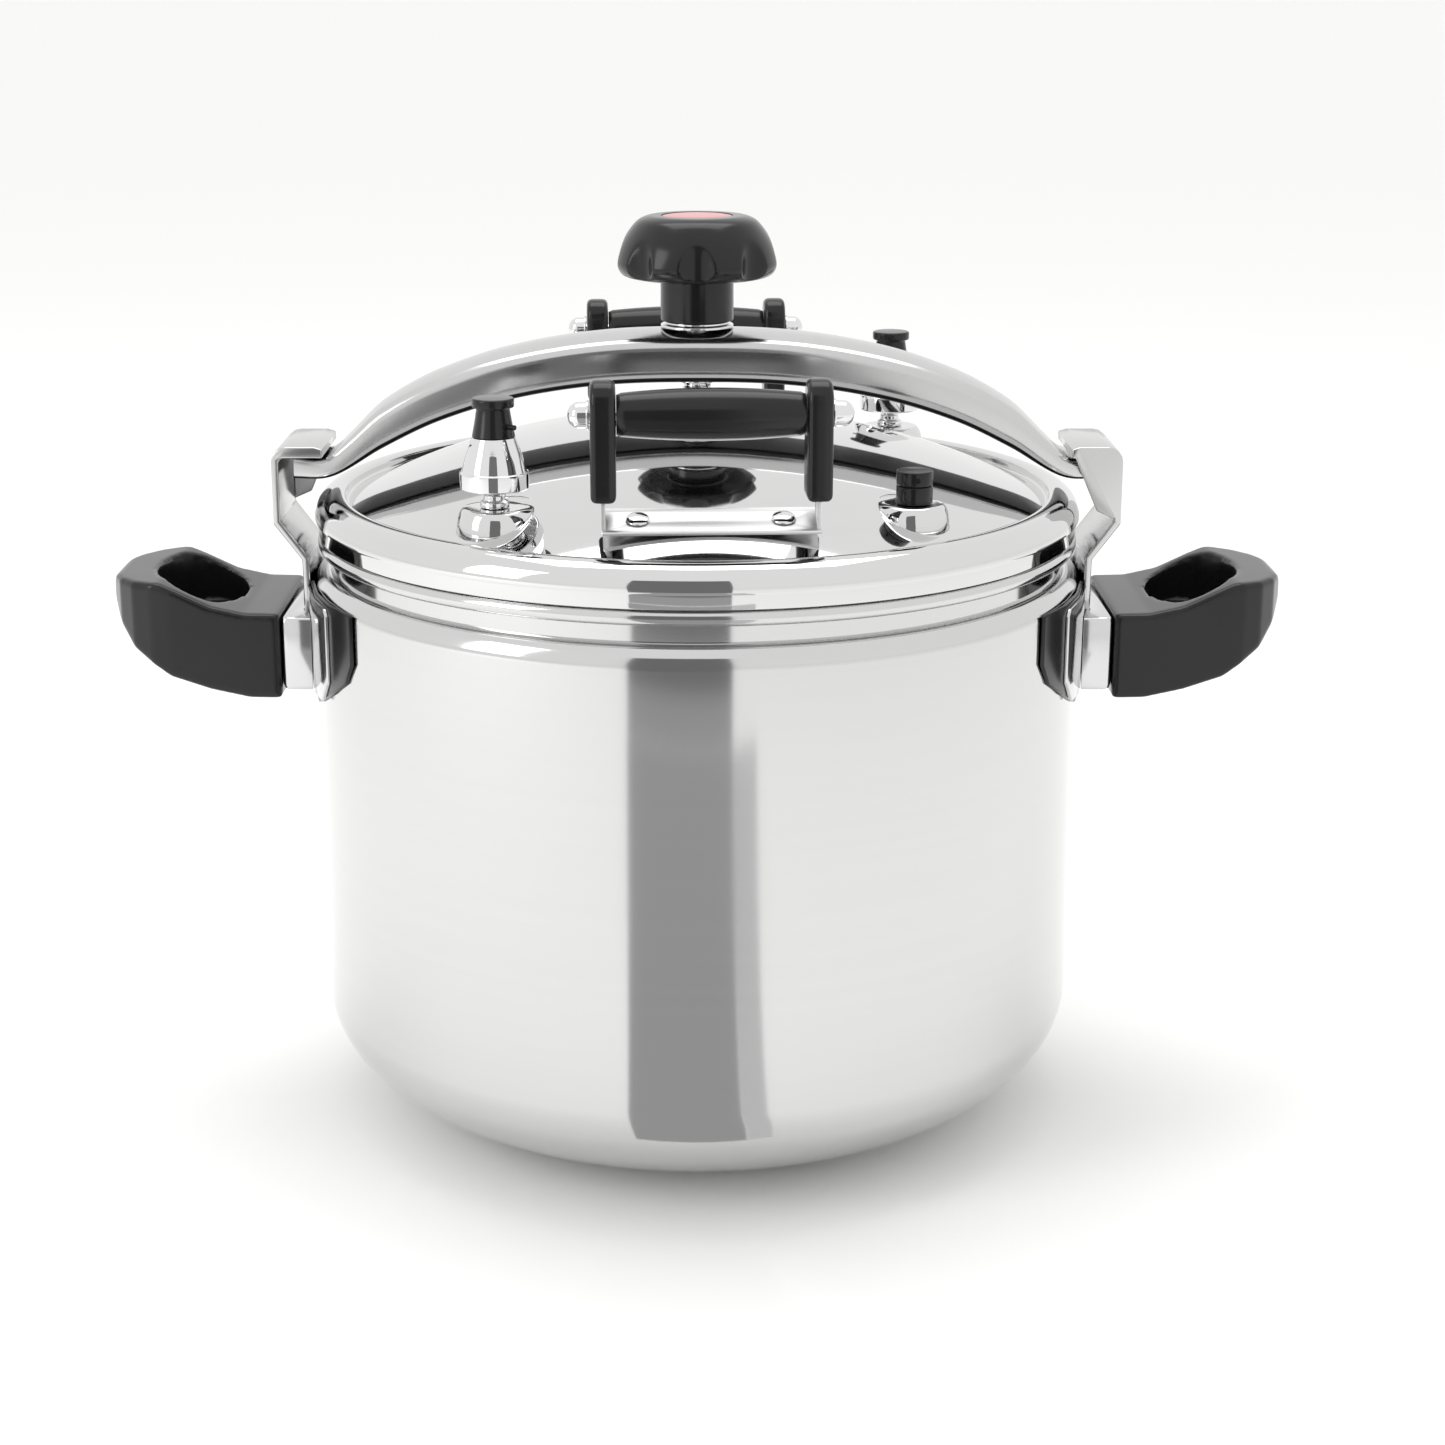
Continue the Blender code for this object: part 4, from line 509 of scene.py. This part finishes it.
def bow_section(share):
    half = HALF_WIDTH + (END_HALF_WIDTH - HALF_WIDTH) * share**2
    under = END_UNDER + (BOW_UNDER - END_UNDER) * smooth_level(UNDER_SHARES, share)
    depth = END_DEPTH + (BOW_DEPTH - END_DEPTH) * smooth_level(DEPTH_SHARES, share)
    top = under + depth
    edge = min(BOW_EDGE, depth * 0.30)
    crown = BOW_CROWN * (1 - share**4)
    points = arc(half - edge, under + edge, edge, edge, -90, 0, 8)
    points += arc(half - edge, top - crown - edge, edge, edge, 0, 78, 8)
    points += [((half - edge) * s, top - crown * s * s) for s in (0.75, 0.5, 0.25, 0.0, -0.25, -0.5, -0.75)]
    points += arc(edge - half, top - crown - edge, edge, edge, 102, 180, 8)
    points += arc(edge - half, under + edge, edge, edge, 180, 270, 8)
    return points


bow_mesh = bmesh.new()
BOW_STEPS = 180
bow_rings = []
for step in range(BOW_STEPS + 1):
    share = 2 * step / BOW_STEPS - 1
    bow_rings.append([bow_mesh.verts.new((HALF_SPAN * share, y, z)) for y, z in bow_section(abs(share))])
count = len(bow_rings[0])
for first, second in zip(bow_rings, bow_rings[1:]):
    for i in range(count):
        after = (i + 1) % count
        bow_mesh.faces.new([first[i], first[after], second[after], second[i]])
bow_mesh.faces.new(bow_rings[0])
bow_mesh.faces.new(bow_rings[-1])
bow = link_mesh("bow_bar", bow_mesh)
bow_steel = steel("bow_steel", (0.62, 0.62, 0.62), 0.17, (260.0, 6.0, 6.0), 0.02, 0.35)
fitted(bow, "bow_body", bow_steel, "polished_steel", "bow")
# Painted shade: faces that point down past the tilt get a near-black copy of the bow's steel.
bow_underside_painted_shade = steel("bow_underside_painted_shade", (0.045, 0.045, 0.047), 0.32, (260.0, 6.0, 6.0), 0.03, 0.3)
bow.data.materials.append(bow_underside_painted_shade)
for face in bow.data.polygons:
    face.material_index = int(face.normal.z < PAINTED_SHADE_TILT)

# The bush, the screw and its foot: turned steel, chromed.
# The screw turns in the bush, and its ball end turns in the foot that presses on the lid.

BUSH_FLANGE = 0.0014
BUSH_BORE = 0.0073
BUSH_LIP = 0.0107
BUSH_BODY = 0.0088
BUSH_HEAD = 0.0178
bush_low, bush_high = z_range("bow_bush")
lip_top, head_base = bush_low + BUSH_FLANGE, bush_high - BUSH_FLANGE
bush_corners = [(BUSH_BORE, bush_low), (BUSH_LIP, bush_low, 0.0005), (BUSH_LIP, lip_top, 0.0003)]
bush_corners += [(BUSH_BODY, lip_top), (BUSH_BODY, head_base), (BUSH_HEAD, head_base, 0.0004)]
bush_corners += [(BUSH_HEAD, bush_high, 0.0006), (BUSH_BORE, bush_high)]
bush_outline = eased(bush_corners, 4)
fitted(turned("screw_bush", bush_outline, 96), "bow_body", bright_chrome, "chrome", "bow_bush")

FOOT_RADIUS = 0.0105
FOOT_SOCKET = 0.0066
FOOT_MOUTH = 0.0047
FOOT_LIP = 0.0022
FOOT_SHEET = 0.0018
foot_low, foot_high = z_range("pressure_foot")
lip_base, socket_floor = foot_high - FOOT_LIP, foot_low + FOOT_SHEET
foot_corners = [(0.0, foot_low), (FOOT_RADIUS, foot_low, 0.0007), (FOOT_RADIUS, lip_base, 0.0008)]
foot_corners += [(FOOT_SOCKET, foot_high, 0.0006), (FOOT_MOUTH, foot_high, 0.0003), (FOOT_MOUTH, lip_base)]
foot_corners += [(FOOT_SOCKET, lip_base), (FOOT_SOCKET, socket_floor), (0.0, socket_floor)]
foot_outline = eased(foot_corners, 4)
fitted(turned("screw_foot", foot_outline, 72), "foot_body", bright_chrome, "chrome", "pressure_foot")

THREAD_PITCH = 0.003
THREAD_DEPTH = 0.0006
SHANK_RADIUS = 0.007
SHANK_STEPS = 60
THREAD_MARGIN = 0.003
BALL_RADIUS = 0.0064
BALL_HEIGHT = 0.003
NECK_OF_BALL = 0.0045
COLLAR_RADIUS = 0.016
screw_low, screw_high = z_range("spindle")
knob_low = z_range("knob")[0]


def threaded(radius, z, angle):
    """A single-start thread on the shank between the foot and the knob's collar."""
    if abs(radius - SHANK_RADIUS) > 1e-5 or not foot_high + THREAD_MARGIN < z < knob_low - THREAD_MARGIN:
        return radius
    wave = math.cos(2 * math.pi * z / THREAD_PITCH - angle)
    return radius - THREAD_DEPTH * (0.5 - 0.5 * wave)


shank_start, shank_end = foot_high + 0.0018, knob_low - 0.0017
ball_top = screw_low + BALL_HEIGHT
screw_outline = [(0.0, screw_low), (0.0054, screw_low), (BALL_RADIUS, screw_low + 0.001)]
screw_outline += [(BALL_RADIUS, ball_top), (NECK_OF_BALL, ball_top), (NECK_OF_BALL, foot_high + FIT_GAP)]
for step in range(SHANK_STEPS + 1):
    screw_outline.append((SHANK_RADIUS, shank_start + (shank_end - shank_start) * step / SHANK_STEPS))
collar_corners = [(SHANK_RADIUS, shank_end), (COLLAR_RADIUS, shank_end + 0.0001, 0.0004)]
collar_corners += [(COLLAR_RADIUS, shank_end + 0.0013, 0.0005), (SHANK_RADIUS, shank_end + 0.0014)]
collar_corners += [(SHANK_RADIUS, screw_high), (0.0, screw_high)]
screw_outline += eased(collar_corners, 4)
screw = turned("screw_spindle", screw_outline, 64, None, threaded)
fitted(screw, "knob_body", bright_chrome, "chrome", "spindle")

# The knob: moulded black phenolic with eight finger scallops, and a plain red disc let into its top.
# The moulding has a soft gloss that drifts a little over its surface.


def phenolic(name, roughness):
    made = bpy.data.materials.new(name)
    made.use_nodes = True
    tree = made.node_tree
    shader = tree.nodes["Principled BSDF"]
    shader.inputs["Specular IOR Level"].default_value = 0.38
    place = tree.nodes.new("ShaderNodeTexCoord")
    grain = tree.nodes.new("ShaderNodeTexNoise")
    grain.inputs["Scale"].default_value = 900.0
    grain.inputs["Detail"].default_value = 3.0
    tree.links.new(place.outputs["Object"], grain.inputs["Vector"])
    cloud = tree.nodes.new("ShaderNodeTexNoise")
    cloud.inputs["Scale"].default_value = 35.0
    tree.links.new(place.outputs["Object"], cloud.inputs["Vector"])
    tone = tree.nodes.new("ShaderNodeValToRGB")
    tone.color_ramp.elements[0].color = (0.006, 0.006, 0.0065, 1.0)
    tone.color_ramp.elements[1].color = (0.012, 0.012, 0.0125, 1.0)
    tree.links.new(cloud.outputs["Fac"], tone.inputs["Fac"])
    tree.links.new(tone.outputs["Color"], shader.inputs["Base Color"])
    gloss = tree.nodes.new("ShaderNodeMapRange")
    gloss.inputs["To Min"].default_value = roughness * 0.8
    gloss.inputs["To Max"].default_value = roughness * 1.25
    tree.links.new(cloud.outputs["Fac"], gloss.inputs["Value"])
    tree.links.new(gloss.outputs["Result"], shader.inputs["Roughness"])
    relief = tree.nodes.new("ShaderNodeBump")
    relief.inputs["Strength"].default_value = 0.10
    relief.inputs["Distance"].default_value = 0.0001
    tree.links.new(grain.outputs["Fac"], relief.inputs["Height"])
    tree.links.new(relief.outputs["Normal"], shader.inputs["Normal"])
    return made


black_phenolic = phenolic("black_phenolic", 0.19)
KNOB_REACH = 0.0398
KNOB_CROWN = 0.0285
KNOB_STEM = 0.0178
BADGE_RECESS = 0.0173
SCALLOP_COUNT = 8
SCALLOP_DEPTH = 0.0043
SCALLOP_RADIUS = 0.012
SCALLOP_EASE = 0.0006
SCALLOP_RING = KNOB_REACH - SCALLOP_DEPTH + SCALLOP_RADIUS
knob_neck = knob_low + 0.0205
knob_top = knob_neck + 0.030


def scalloped(radius, z, angle):
    """The reach left by a ring of upright round cutters, with a small easing at their edges."""
    half_turn = math.pi / SCALLOP_COUNT
    swing = (angle + half_turn) % (2 * half_turn) - half_turn
    miss = SCALLOP_RADIUS**2 - (SCALLOP_RING * math.sin(swing)) ** 2
    if z <= knob_neck or miss <= 0.0:
        return radius
    cut = SCALLOP_RING * math.cos(swing) - math.sqrt(miss)
    return -SCALLOP_EASE * math.log(math.exp(-radius / SCALLOP_EASE) + math.exp(-cut / SCALLOP_EASE))


socket_top = knob_low + 0.014
knob_corners = [(0.0, socket_top), (0.0073, socket_top), (0.0073, knob_low), (KNOB_STEM, knob_low, 0.0008)]
knob_corners += [(KNOB_STEM, knob_neck, 0.002), (KNOB_REACH * 0.78, knob_neck + 0.0002, 0.0015)]
knob_corners += [(KNOB_REACH - 0.003, knob_neck + 0.0015, 0.003), (KNOB_REACH, knob_neck + 0.006, 0.004)]
knob_corners += [(KNOB_REACH - 0.0008, knob_neck + 0.011, 0.003)]
knob_corners += [(KNOB_REACH - 0.0035, knob_neck + 0.018, 0.004)]
knob_corners += [(KNOB_REACH - 0.0075, knob_neck + 0.024, 0.004)]
knob_corners += [(KNOB_CROWN, knob_top - 0.0018, 0.003), (KNOB_CROWN - 0.005, knob_top, 0.002)]
recess_floor = knob_top - 0.0012
knob_corners += [(BADGE_RECESS, knob_top, 0.0004), (BADGE_RECESS, recess_floor), (0.0, recess_floor)]
knob = turned("knob_moulding", eased(knob_corners, 7), 256, None, scalloped)
fitted(knob, "knob_body", black_phenolic, "bakelite", "knob")

BADGE_RADIUS = 0.017
enamel = mottled("red_enamel_disc", 0.28, 220.0, (0.50, 0.022, 0.032), (0.62, 0.040, 0.048))
enamel.node_tree.nodes["Principled BSDF"].inputs["Coat Weight"].default_value = 0.6
badge_low, badge_high = z_range("knob_badge")
badge_corners = [(0.0, badge_low), (BADGE_RADIUS, badge_low, 0.0002)]
badge_corners += [(BADGE_RADIUS, badge_low + 0.0006, 0.0004)]
badge_corners += [(0.0136, badge_high - 0.0001, 0.003), (0.0, badge_high)]
fitted(turned("knob_disc", eased(badge_corners, 6), 96), "knob_body", enamel, "red_enamel", "knob_badge")

# The regulators: a chromed turned weight with a black grip on top and a pin through the grip.
# Each hangs over its vent pipe and slides straight up on it.

WEIGHT_RADIUS = 0.0158
WEIGHT_BAND = 0.0078
WEIGHT_BORE = 0.0034
GRIP_FOOT = 0.0098
GRIP_HEAD = 0.0096
HOLE_RADIUS = 0.0015
STUD_BORE = 0.0012
STUD_RADIUS = 0.004
PIPE_FOOT = 0.0066
PIPE_COLLAR = 0.0050
PIPE_RADIUS = 0.0032
for end, place in REGULATOR_PLACES.items():
    body = "regulator_" + end + "_body"
    low, high = z_range("regulator_weight_" + end)
    band = low + WEIGHT_BAND
    seat = low + 0.0142
    weight_corners = [(0.0, seat), (WEIGHT_BORE, seat), (WEIGHT_BORE, low), (WEIGHT_RADIUS, low, 0.0009)]
    weight_corners += [(WEIGHT_RADIUS, band, 0.0008), (WEIGHT_RADIUS - 0.0009, band + 0.0002, 0.0003)]
    weight_corners += [(0.01345, band + 0.0060, 0.006), (0.0113, high - 0.0040, 0.006)]
    weight_corners += [(GRIP_FOOT, high, 0.0002), (0.0, high)]
    weight = turned("weight_" + end, eased(weight_corners, 8), 96, place)
    fitted(weight, body, bright_chrome, "chrome", "regulator_weight_" + end)
    # A small black disc on the weight's side stands for a hole: painted shade for the dark inside it.
    hole_corners = [(0.0, -0.0006), (HOLE_RADIUS, -0.0006, 0.0001)]
    hole_corners += [(HOLE_RADIUS, 0.0003, 0.0002), (0.0, 0.0003)]
    hole_spot = Matrix.Translation((-0.0045, -0.0094, low + 0.0195))
    hole_lean = Matrix.Rotation(math.radians(115), 4, "X")
    hole = turned("weight_hole_" + end, eased(hole_corners, 3), 24, place @ hole_spot @ hole_lean)
    fitted(hole, body, black_phenolic, "bakelite")
    grip_low, grip_high = z_range("regulator_grip_" + end)
    neck = grip_low + 0.0130
    grip_corners = [(0.0, grip_low), (GRIP_FOOT, grip_low, 0.0004), (0.0084, grip_low + 0.0070, 0.006)]
    grip_corners += [(0.0075, neck, 0.0007), (0.0094, neck + 0.0003, 0.0005)]
    grip_corners += [(GRIP_HEAD, neck + 0.0012, 0.0006), (GRIP_HEAD, grip_high, 0.0011), (0.0, grip_high)]
    grip = turned("grip_" + end, eased(grip_corners, 6), 96, place)
    fitted(grip, body, black_phenolic, "bakelite", "regulator_grip_" + end)
    node_finish("regulator_pin_" + end, black_phenolic)
    pipe_low, pipe_high = z_range("vent_pipe_" + end)
    base = dome_z(REGULATOR_RING) + BOSS_STAND_OUT + FIT_GAP
    pipe_corners = [(STUD_BORE, pipe_low), (STUD_RADIUS, pipe_low, 0.0004), (STUD_RADIUS, base)]
    pipe_corners += [(PIPE_FOOT, base, 0.0004), (PIPE_FOOT, base + 0.0026, 0.0006)]
    pipe_corners += [(PIPE_COLLAR, base + 0.0032, 0.0006), (PIPE_COLLAR, base + 0.0056, 0.0006)]
    pipe_corners += [(PIPE_RADIUS, base + 0.0059, 0.0005), (PIPE_RADIUS, pipe_high, 0.0007)]
    pipe_corners += [(STUD_BORE, pipe_high)]
    pipe = turned("pipe_" + end, eased(pipe_corners, 5), 48, place)
    fitted(pipe, "lid_body", bright_chrome, "brushed_steel", "vent_pipe_" + end)

# The safety valve: a black moulded body and cap, one on the other, with a small vent hole in the cap's side.
# A spring inside holds the plunger down on its seat.

VALVE_RADIUS = 0.0084
CHAMBER_RADIUS = 0.0060
CHAMBER_DEPTH = 0.0058
CAP_CHAMBER = 0.0045
VENT_RADIUS = 0.0013
body_low, body_high = z_range("safety_valve_body")
valve_base = dome_z(VALVE_RING) + BOSS_STAND_OUT + FIT_GAP
chamber_floor = body_high - CHAMBER_DEPTH
body_corners = [(STUD_BORE, body_low), (STUD_RADIUS, body_low), (STUD_RADIUS, valve_base)]
body_corners += [(VALVE_RADIUS, valve_base, 0.0005), (VALVE_RADIUS, body_high, 0.0007)]
body_corners += [(CHAMBER_RADIUS, body_high), (CHAMBER_RADIUS, chamber_floor), (STUD_BORE, chamber_floor)]
valve_body = turned("valve_body", eased(body_corners, 5), 96, VALVE_PLACE)
fitted(valve_body, "lid_body", black_phenolic, "bakelite", "safety_valve_body")
cap_low, cap_high = z_range("safety_valve_cap")
cap_ceiling = cap_low + CAP_CHAMBER
cap_corners = [(0.0, cap_ceiling), (CHAMBER_RADIUS, cap_ceiling), (CHAMBER_RADIUS, cap_low)]
cap_corners += [(VALVE_RADIUS, cap_low, 0.0006), (VALVE_RADIUS, cap_high, 0.0009), (0.0, cap_high)]
valve_cap = turned("valve_cap", eased(cap_corners, 5), 96, VALVE_PLACE)
fitted(valve_cap, "lid_body", black_phenolic, "bakelite", "safety_valve_cap")
# Each vent hole is drawn as a flat near-black disc on the cap's side: painted shade for the dark inside the
# hole.
painted_hole_shade = mottled("hole_shadow", 0.9, 5.0, (0.001, 0.001, 0.001), (0.003, 0.003, 0.003))
vent_spot = Matrix.Translation((0.0, -VALVE_RADIUS + 0.0006, cap_low + 0.0030))
vent_spot = vent_spot @ Matrix.Rotation(math.pi / 2, 4, "X")
vent_corners = [(0.0, -0.0003), (VENT_RADIUS, -0.0003), (VENT_RADIUS, 0.0007), (0.0, 0.0007)]
for side, turn in (("front", 0.0), ("rear", math.pi)):
    vent_turn = Matrix.Rotation(turn - math.radians(38), 4, "Z")
    vent = turned("valve_vent_" + side, vent_corners, 24, VALVE_PLACE @ vent_turn @ vent_spot)
    fitted(vent, "lid_body", painted_hole_shade, "bakelite")

# The lid handles: a folded steel bracket with two ears, a black cheek over each ear, and a barrel-shaped bar.
# A steel rod runs through all of them and ends in a chromed cap nut on each side.

ROD_Z = sum(z_range("lid_handle_rod_front")) / 2
HANDLE_RING = 0.141
CHEEK_SPACING = 0.0955
CHEEK_THICKNESS = 0.0115
BAR_HALF = CHEEK_SPACING / 2 - CHEEK_THICKNESS / 2 - FIT_GAP
BAR_BORE = 0.0028
BAR_END_RADIUS = 0.0095
BAR_SWELL = 0.0022
BAR_EASE = 0.0007
BAR_STEPS = 40
along_rod = LID_TURN @ Matrix.Translation((0.0, -HANDLE_RING, ROD_Z)) @ Matrix.Rotation(math.pi / 2, 4, "Y")
HANDLE_TURNS = {"front": Matrix.Identity(4), "rear": Matrix.Rotation(math.pi, 4, "Z")}


def copied(node, name):
    """A welded copy of a solid's mesh, with its flat faces made whole again."""
    bm = bmesh.new()
    bm.from_mesh(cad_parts[node].data)
    bmesh.ops.remove_doubles(bm, verts=bm.verts, dist=1e-5)
    bmesh.ops.dissolve_limit(bm, angle_limit=math.radians(1.0), verts=bm.verts, edges=bm.edges)
    mesh = bpy.data.meshes.new(name)
    bm.to_mesh(mesh)
    bm.free()
    made = bpy.data.objects.new(name, mesh)
    bpy.context.scene.collection.objects.link(made)
    return made


def kept_shape(made):
    """Keeps what the modifiers make of a piece, and takes them off."""
    graph = bpy.context.evaluated_depsgraph_get()
    shaped = bpy.data.meshes.new_from_object(made.evaluated_get(graph))
    made.modifiers.clear()
    made.data = shaped


def moulded(node, name, grain, passes):
    """A moulding: every edge melts into a soft radius."""
    made = copied(node, name)
    cast = made.modifiers.new("cast", "REMESH")
    cast.mode = "VOXEL"
    cast.voxel_size = grain
    melt = made.modifiers.new("melt", "SMOOTH")
    melt.factor = 0.5
    melt.iterations = passes
    kept_shape(made)
    made.data.shade_smooth()
    return made


def pressed(node, name, edge, steps=3):
    """Sheet metal: flat faces with a small rolled edge."""
    made = copied(node, name)
    roll = made.modifiers.new("roll", "BEVEL")
    roll.width = edge
    roll.segments = steps
    roll.limit_method = "ANGLE"
    roll.angle_limit = math.radians(35)
    kept_shape(made)
    made.data.shade_smooth()
    made.data.set_sharp_from_angle(angle=math.radians(45))
    return made


bracket_steel = steel("bracket_steel", (0.84, 0.84, 0.84), 0.40, (380.0, 20.0, 380.0), 0.05, 0.25)
for end, turn in HANDLE_TURNS.items():
    profile = [(BAR_BORE, -BAR_HALF)]
    for step in range(BAR_STEPS + 1):
        share = step / (BAR_STEPS / 2) - 1
        profile.append((BAR_END_RADIUS + BAR_SWELL * (1 - share**2), BAR_HALF * share))
    profile += [(BAR_BORE, BAR_HALF)]
    for tip in (1, -2):
        profile[tip] = (profile[tip][0] - BAR_EASE, profile[tip][1])
    bar = turned("handle_bar_" + end, profile, 72, turn @ along_rod)
    fitted(bar, "lid_body", black_phenolic, "bakelite", "lid_handle_bar_" + end)
    node_finish("lid_handle_rod_" + end, bright_chrome)
    bracket = pressed("lid_handle_bracket_" + end, "handle_bracket_" + end, 0.0005, 2)
    fitted(bracket, "lid_body", bracket_steel, "brushed_steel", "lid_handle_bracket_" + end)
    for side in ("left", "right"):
        node = "lid_handle_cheek_" + end + "_" + side
        cheek = moulded(node, "handle_cheek_" + end + "_" + side, 0.00055, 45)
        fitted(cheek, "lid_body", black_phenolic, "bakelite", node)

# The cap nuts and the rivets: chromed, four of each.
# A domed nut with its own washer face closes each end of a rod.
# Two round-headed rivets hold each bracket to the lid.


def placed_by_nodes(name, places, profile_points, sides):
    """Sets one turned fastener on each place by Geometry Nodes and returns the plain mesh."""
    host_mesh = bpy.data.meshes.new(name)
    host_mesh.from_pydata([place.translation for place in places], [], [])
    turn = host_mesh.attributes.new("turn", "FLOAT_VECTOR", "POINT")
    for i, place in enumerate(places):
        turn.data[i].vector = place.to_euler()
    host = bpy.data.objects.new(name, host_mesh)
    bpy.context.scene.collection.objects.link(host)
    shape = turned(name + "_shape", profile_points, sides)
    tree = bpy.data.node_groups.new(name + "_setter", "GeometryNodeTree")
    tree.interface.new_socket("Geometry", in_out="INPUT", socket_type="NodeSocketGeometry")
    size = tree.interface.new_socket("Fastener size", in_out="INPUT", socket_type="NodeSocketFloat")
    finish = tree.interface.new_socket("Finish", in_out="INPUT", socket_type="NodeSocketMaterial")
    tree.interface.new_socket("Geometry", in_out="OUTPUT", socket_type="NodeSocketGeometry")
    start = tree.nodes.new("NodeGroupInput")
    end = tree.nodes.new("NodeGroupOutput")
    source = tree.nodes.new("GeometryNodeObjectInfo")
    source.inputs["Object"].default_value = shape
    turns = tree.nodes.new("GeometryNodeInputNamedAttribute")
    turns.data_type = "FLOAT_VECTOR"
    turns.inputs["Name"].default_value = "turn"
    setter = tree.nodes.new("GeometryNodeInstanceOnPoints")
    real = tree.nodes.new("GeometryNodeRealizeInstances")
    paint = tree.nodes.new("GeometryNodeSetMaterial")
    tree.links.new(start.outputs["Geometry"], setter.inputs["Points"])
    tree.links.new(source.outputs["Geometry"], setter.inputs["Instance"])
    tree.links.new(turns.outputs["Attribute"], setter.inputs["Rotation"])
    tree.links.new(start.outputs["Fastener size"], setter.inputs["Scale"])
    tree.links.new(setter.outputs["Instances"], real.inputs["Geometry"])
    tree.links.new(real.outputs["Geometry"], paint.inputs["Geometry"])
    tree.links.new(start.outputs["Finish"], paint.inputs["Material"])
    tree.links.new(paint.outputs["Geometry"], end.inputs["Geometry"])
    run = host.modifiers.new("setter", "NODES")
    run.node_group = tree
    run[size.identifier] = 1.0
    run[finish.identifier] = bright_chrome
    kept_shape(host)
    bpy.data.objects.remove(shape, do_unlink=True)
    host.data.shade_smooth()
    host.data.set_sharp_from_angle(angle=math.radians(50))
    return host


def all_four(prefix):
    return [prefix + end + "_" + side for end in HANDLE_TURNS for side in ("left", "right")]


CHEEK_FACE = CHEEK_SPACING / 2 + CHEEK_THICKNESS / 2 + FIT_GAP
BRACKET_RING = 0.1395
RIVET_REACH = 0.0325
RIVET_SEAT = 0.0026
nut_places = []
rivet_places = []
tilt = math.asin(BRACKET_RING / DOME_RADIUS)
for turn in HANDLE_TURNS.values():
    for side in (-1, 1):
        lean = Matrix.Rotation(side * math.pi / 2, 4, "Y")
        nut_spot = Matrix.Translation((side * CHEEK_FACE, -HANDLE_RING, ROD_Z))
        nut_places.append(turn @ LID_TURN @ nut_spot @ lean)
        spot = Matrix.Translation((0.0, -BRACKET_RING, dome_z(BRACKET_RING))) @ Matrix.Rotation(tilt, 4, "X")
        rivet_spot = Matrix.Translation((side * RIVET_REACH, 0.0, RIVET_SEAT))
        rivet_places.append(turn @ LID_TURN @ spot @ rivet_spot)
NUT_BORE = 0.0028
NUT_WASHER = 0.0066
NUT_RADIUS = 0.0058
NUT_STRAIGHT = 0.0043
nut_corners = [(NUT_BORE, 0.0), (NUT_WASHER, 0.0, 0.0003), (NUT_WASHER, 0.0012, 0.0004)]
nut_corners += [(NUT_RADIUS, 0.0013), (NUT_RADIUS, NUT_STRAIGHT)]
nut_profile = eased(nut_corners, 4) + arc(0.0, NUT_STRAIGHT, NUT_RADIUS, 0.0052, 8, 82, 10)
nut_profile += [(0.0, 0.0095), (0.0, 0.0046), (NUT_BORE, 0.0046)]
nuts = placed_by_nodes("cap_nuts", nut_places, nut_profile, 48)
fitted(nuts, "lid_body", bright_chrome, "chrome", *all_four("lid_handle_cap_nut_"))
RIVET_SHANK = 0.0025
RIVET_HEAD = 0.0054
rivet_profile = [(0.0, -0.0092), (0.0038, -0.0092), (0.0040, -0.0090), (0.0040, -0.0080)]
rivet_profile += [(RIVET_SHANK, -0.0080), (RIVET_SHANK, 0.0), (0.0052, 0.0), (RIVET_HEAD, 0.0002)]
rivet_profile += arc(0.0, 0.0003, RIVET_HEAD, 0.0015, 8, 82, 10) + [(0.0, 0.0018)]
rivets = placed_by_nodes("bracket_rivets", rivet_places, rivet_profile, 48)
fitted(rivets, "lid_body", bright_chrome, "chrome", *all_four("bracket_rivet_"))

# The side fittings: black grips with a thumb pocket, steel ferrules, mounting bands and black heat shields.
# Each grip is moulded and screwed to the ferrule's tang from below.
# The bent hooks rise between band and ferrule.

satin_steel = steel("satin_steel", (0.68, 0.68, 0.685), 0.13, (8.0, 300.0, 8.0), 0.03, 0.3)
for side in ("left", "right"):
    grip = moulded("side_handle_" + side, "side_grip_" + side, 0.0010, 14)
    fitted(grip, "pot_body", black_phenolic, "bakelite", "side_handle_" + side)
    shield = pressed("heat_guard_" + side, "heat_shield_" + side, 0.0005)
    fitted(shield, "pot_body", black_phenolic, "bakelite", "heat_guard_" + side)
    ferrule = pressed("handle_ferrule_" + side, "ferrule_" + side, 0.0006)
    fitted(ferrule, "pot_body", satin_steel, "polished_steel", "handle_ferrule_" + side)
    band = pressed("mounting_band_" + side, "band_" + side, 0.0005, 2)
    fitted(band, "pot_body", satin_steel, "brushed_steel", "mounting_band_" + side)
    hook = pressed("clamp_hook_" + side, "hook_" + side, 0.0011, 4)
    fitted(hook, "pot_body", bow_steel, "polished_steel", "clamp_hook_" + side)
    node_finish("handle_screw_" + side, plain_steel)
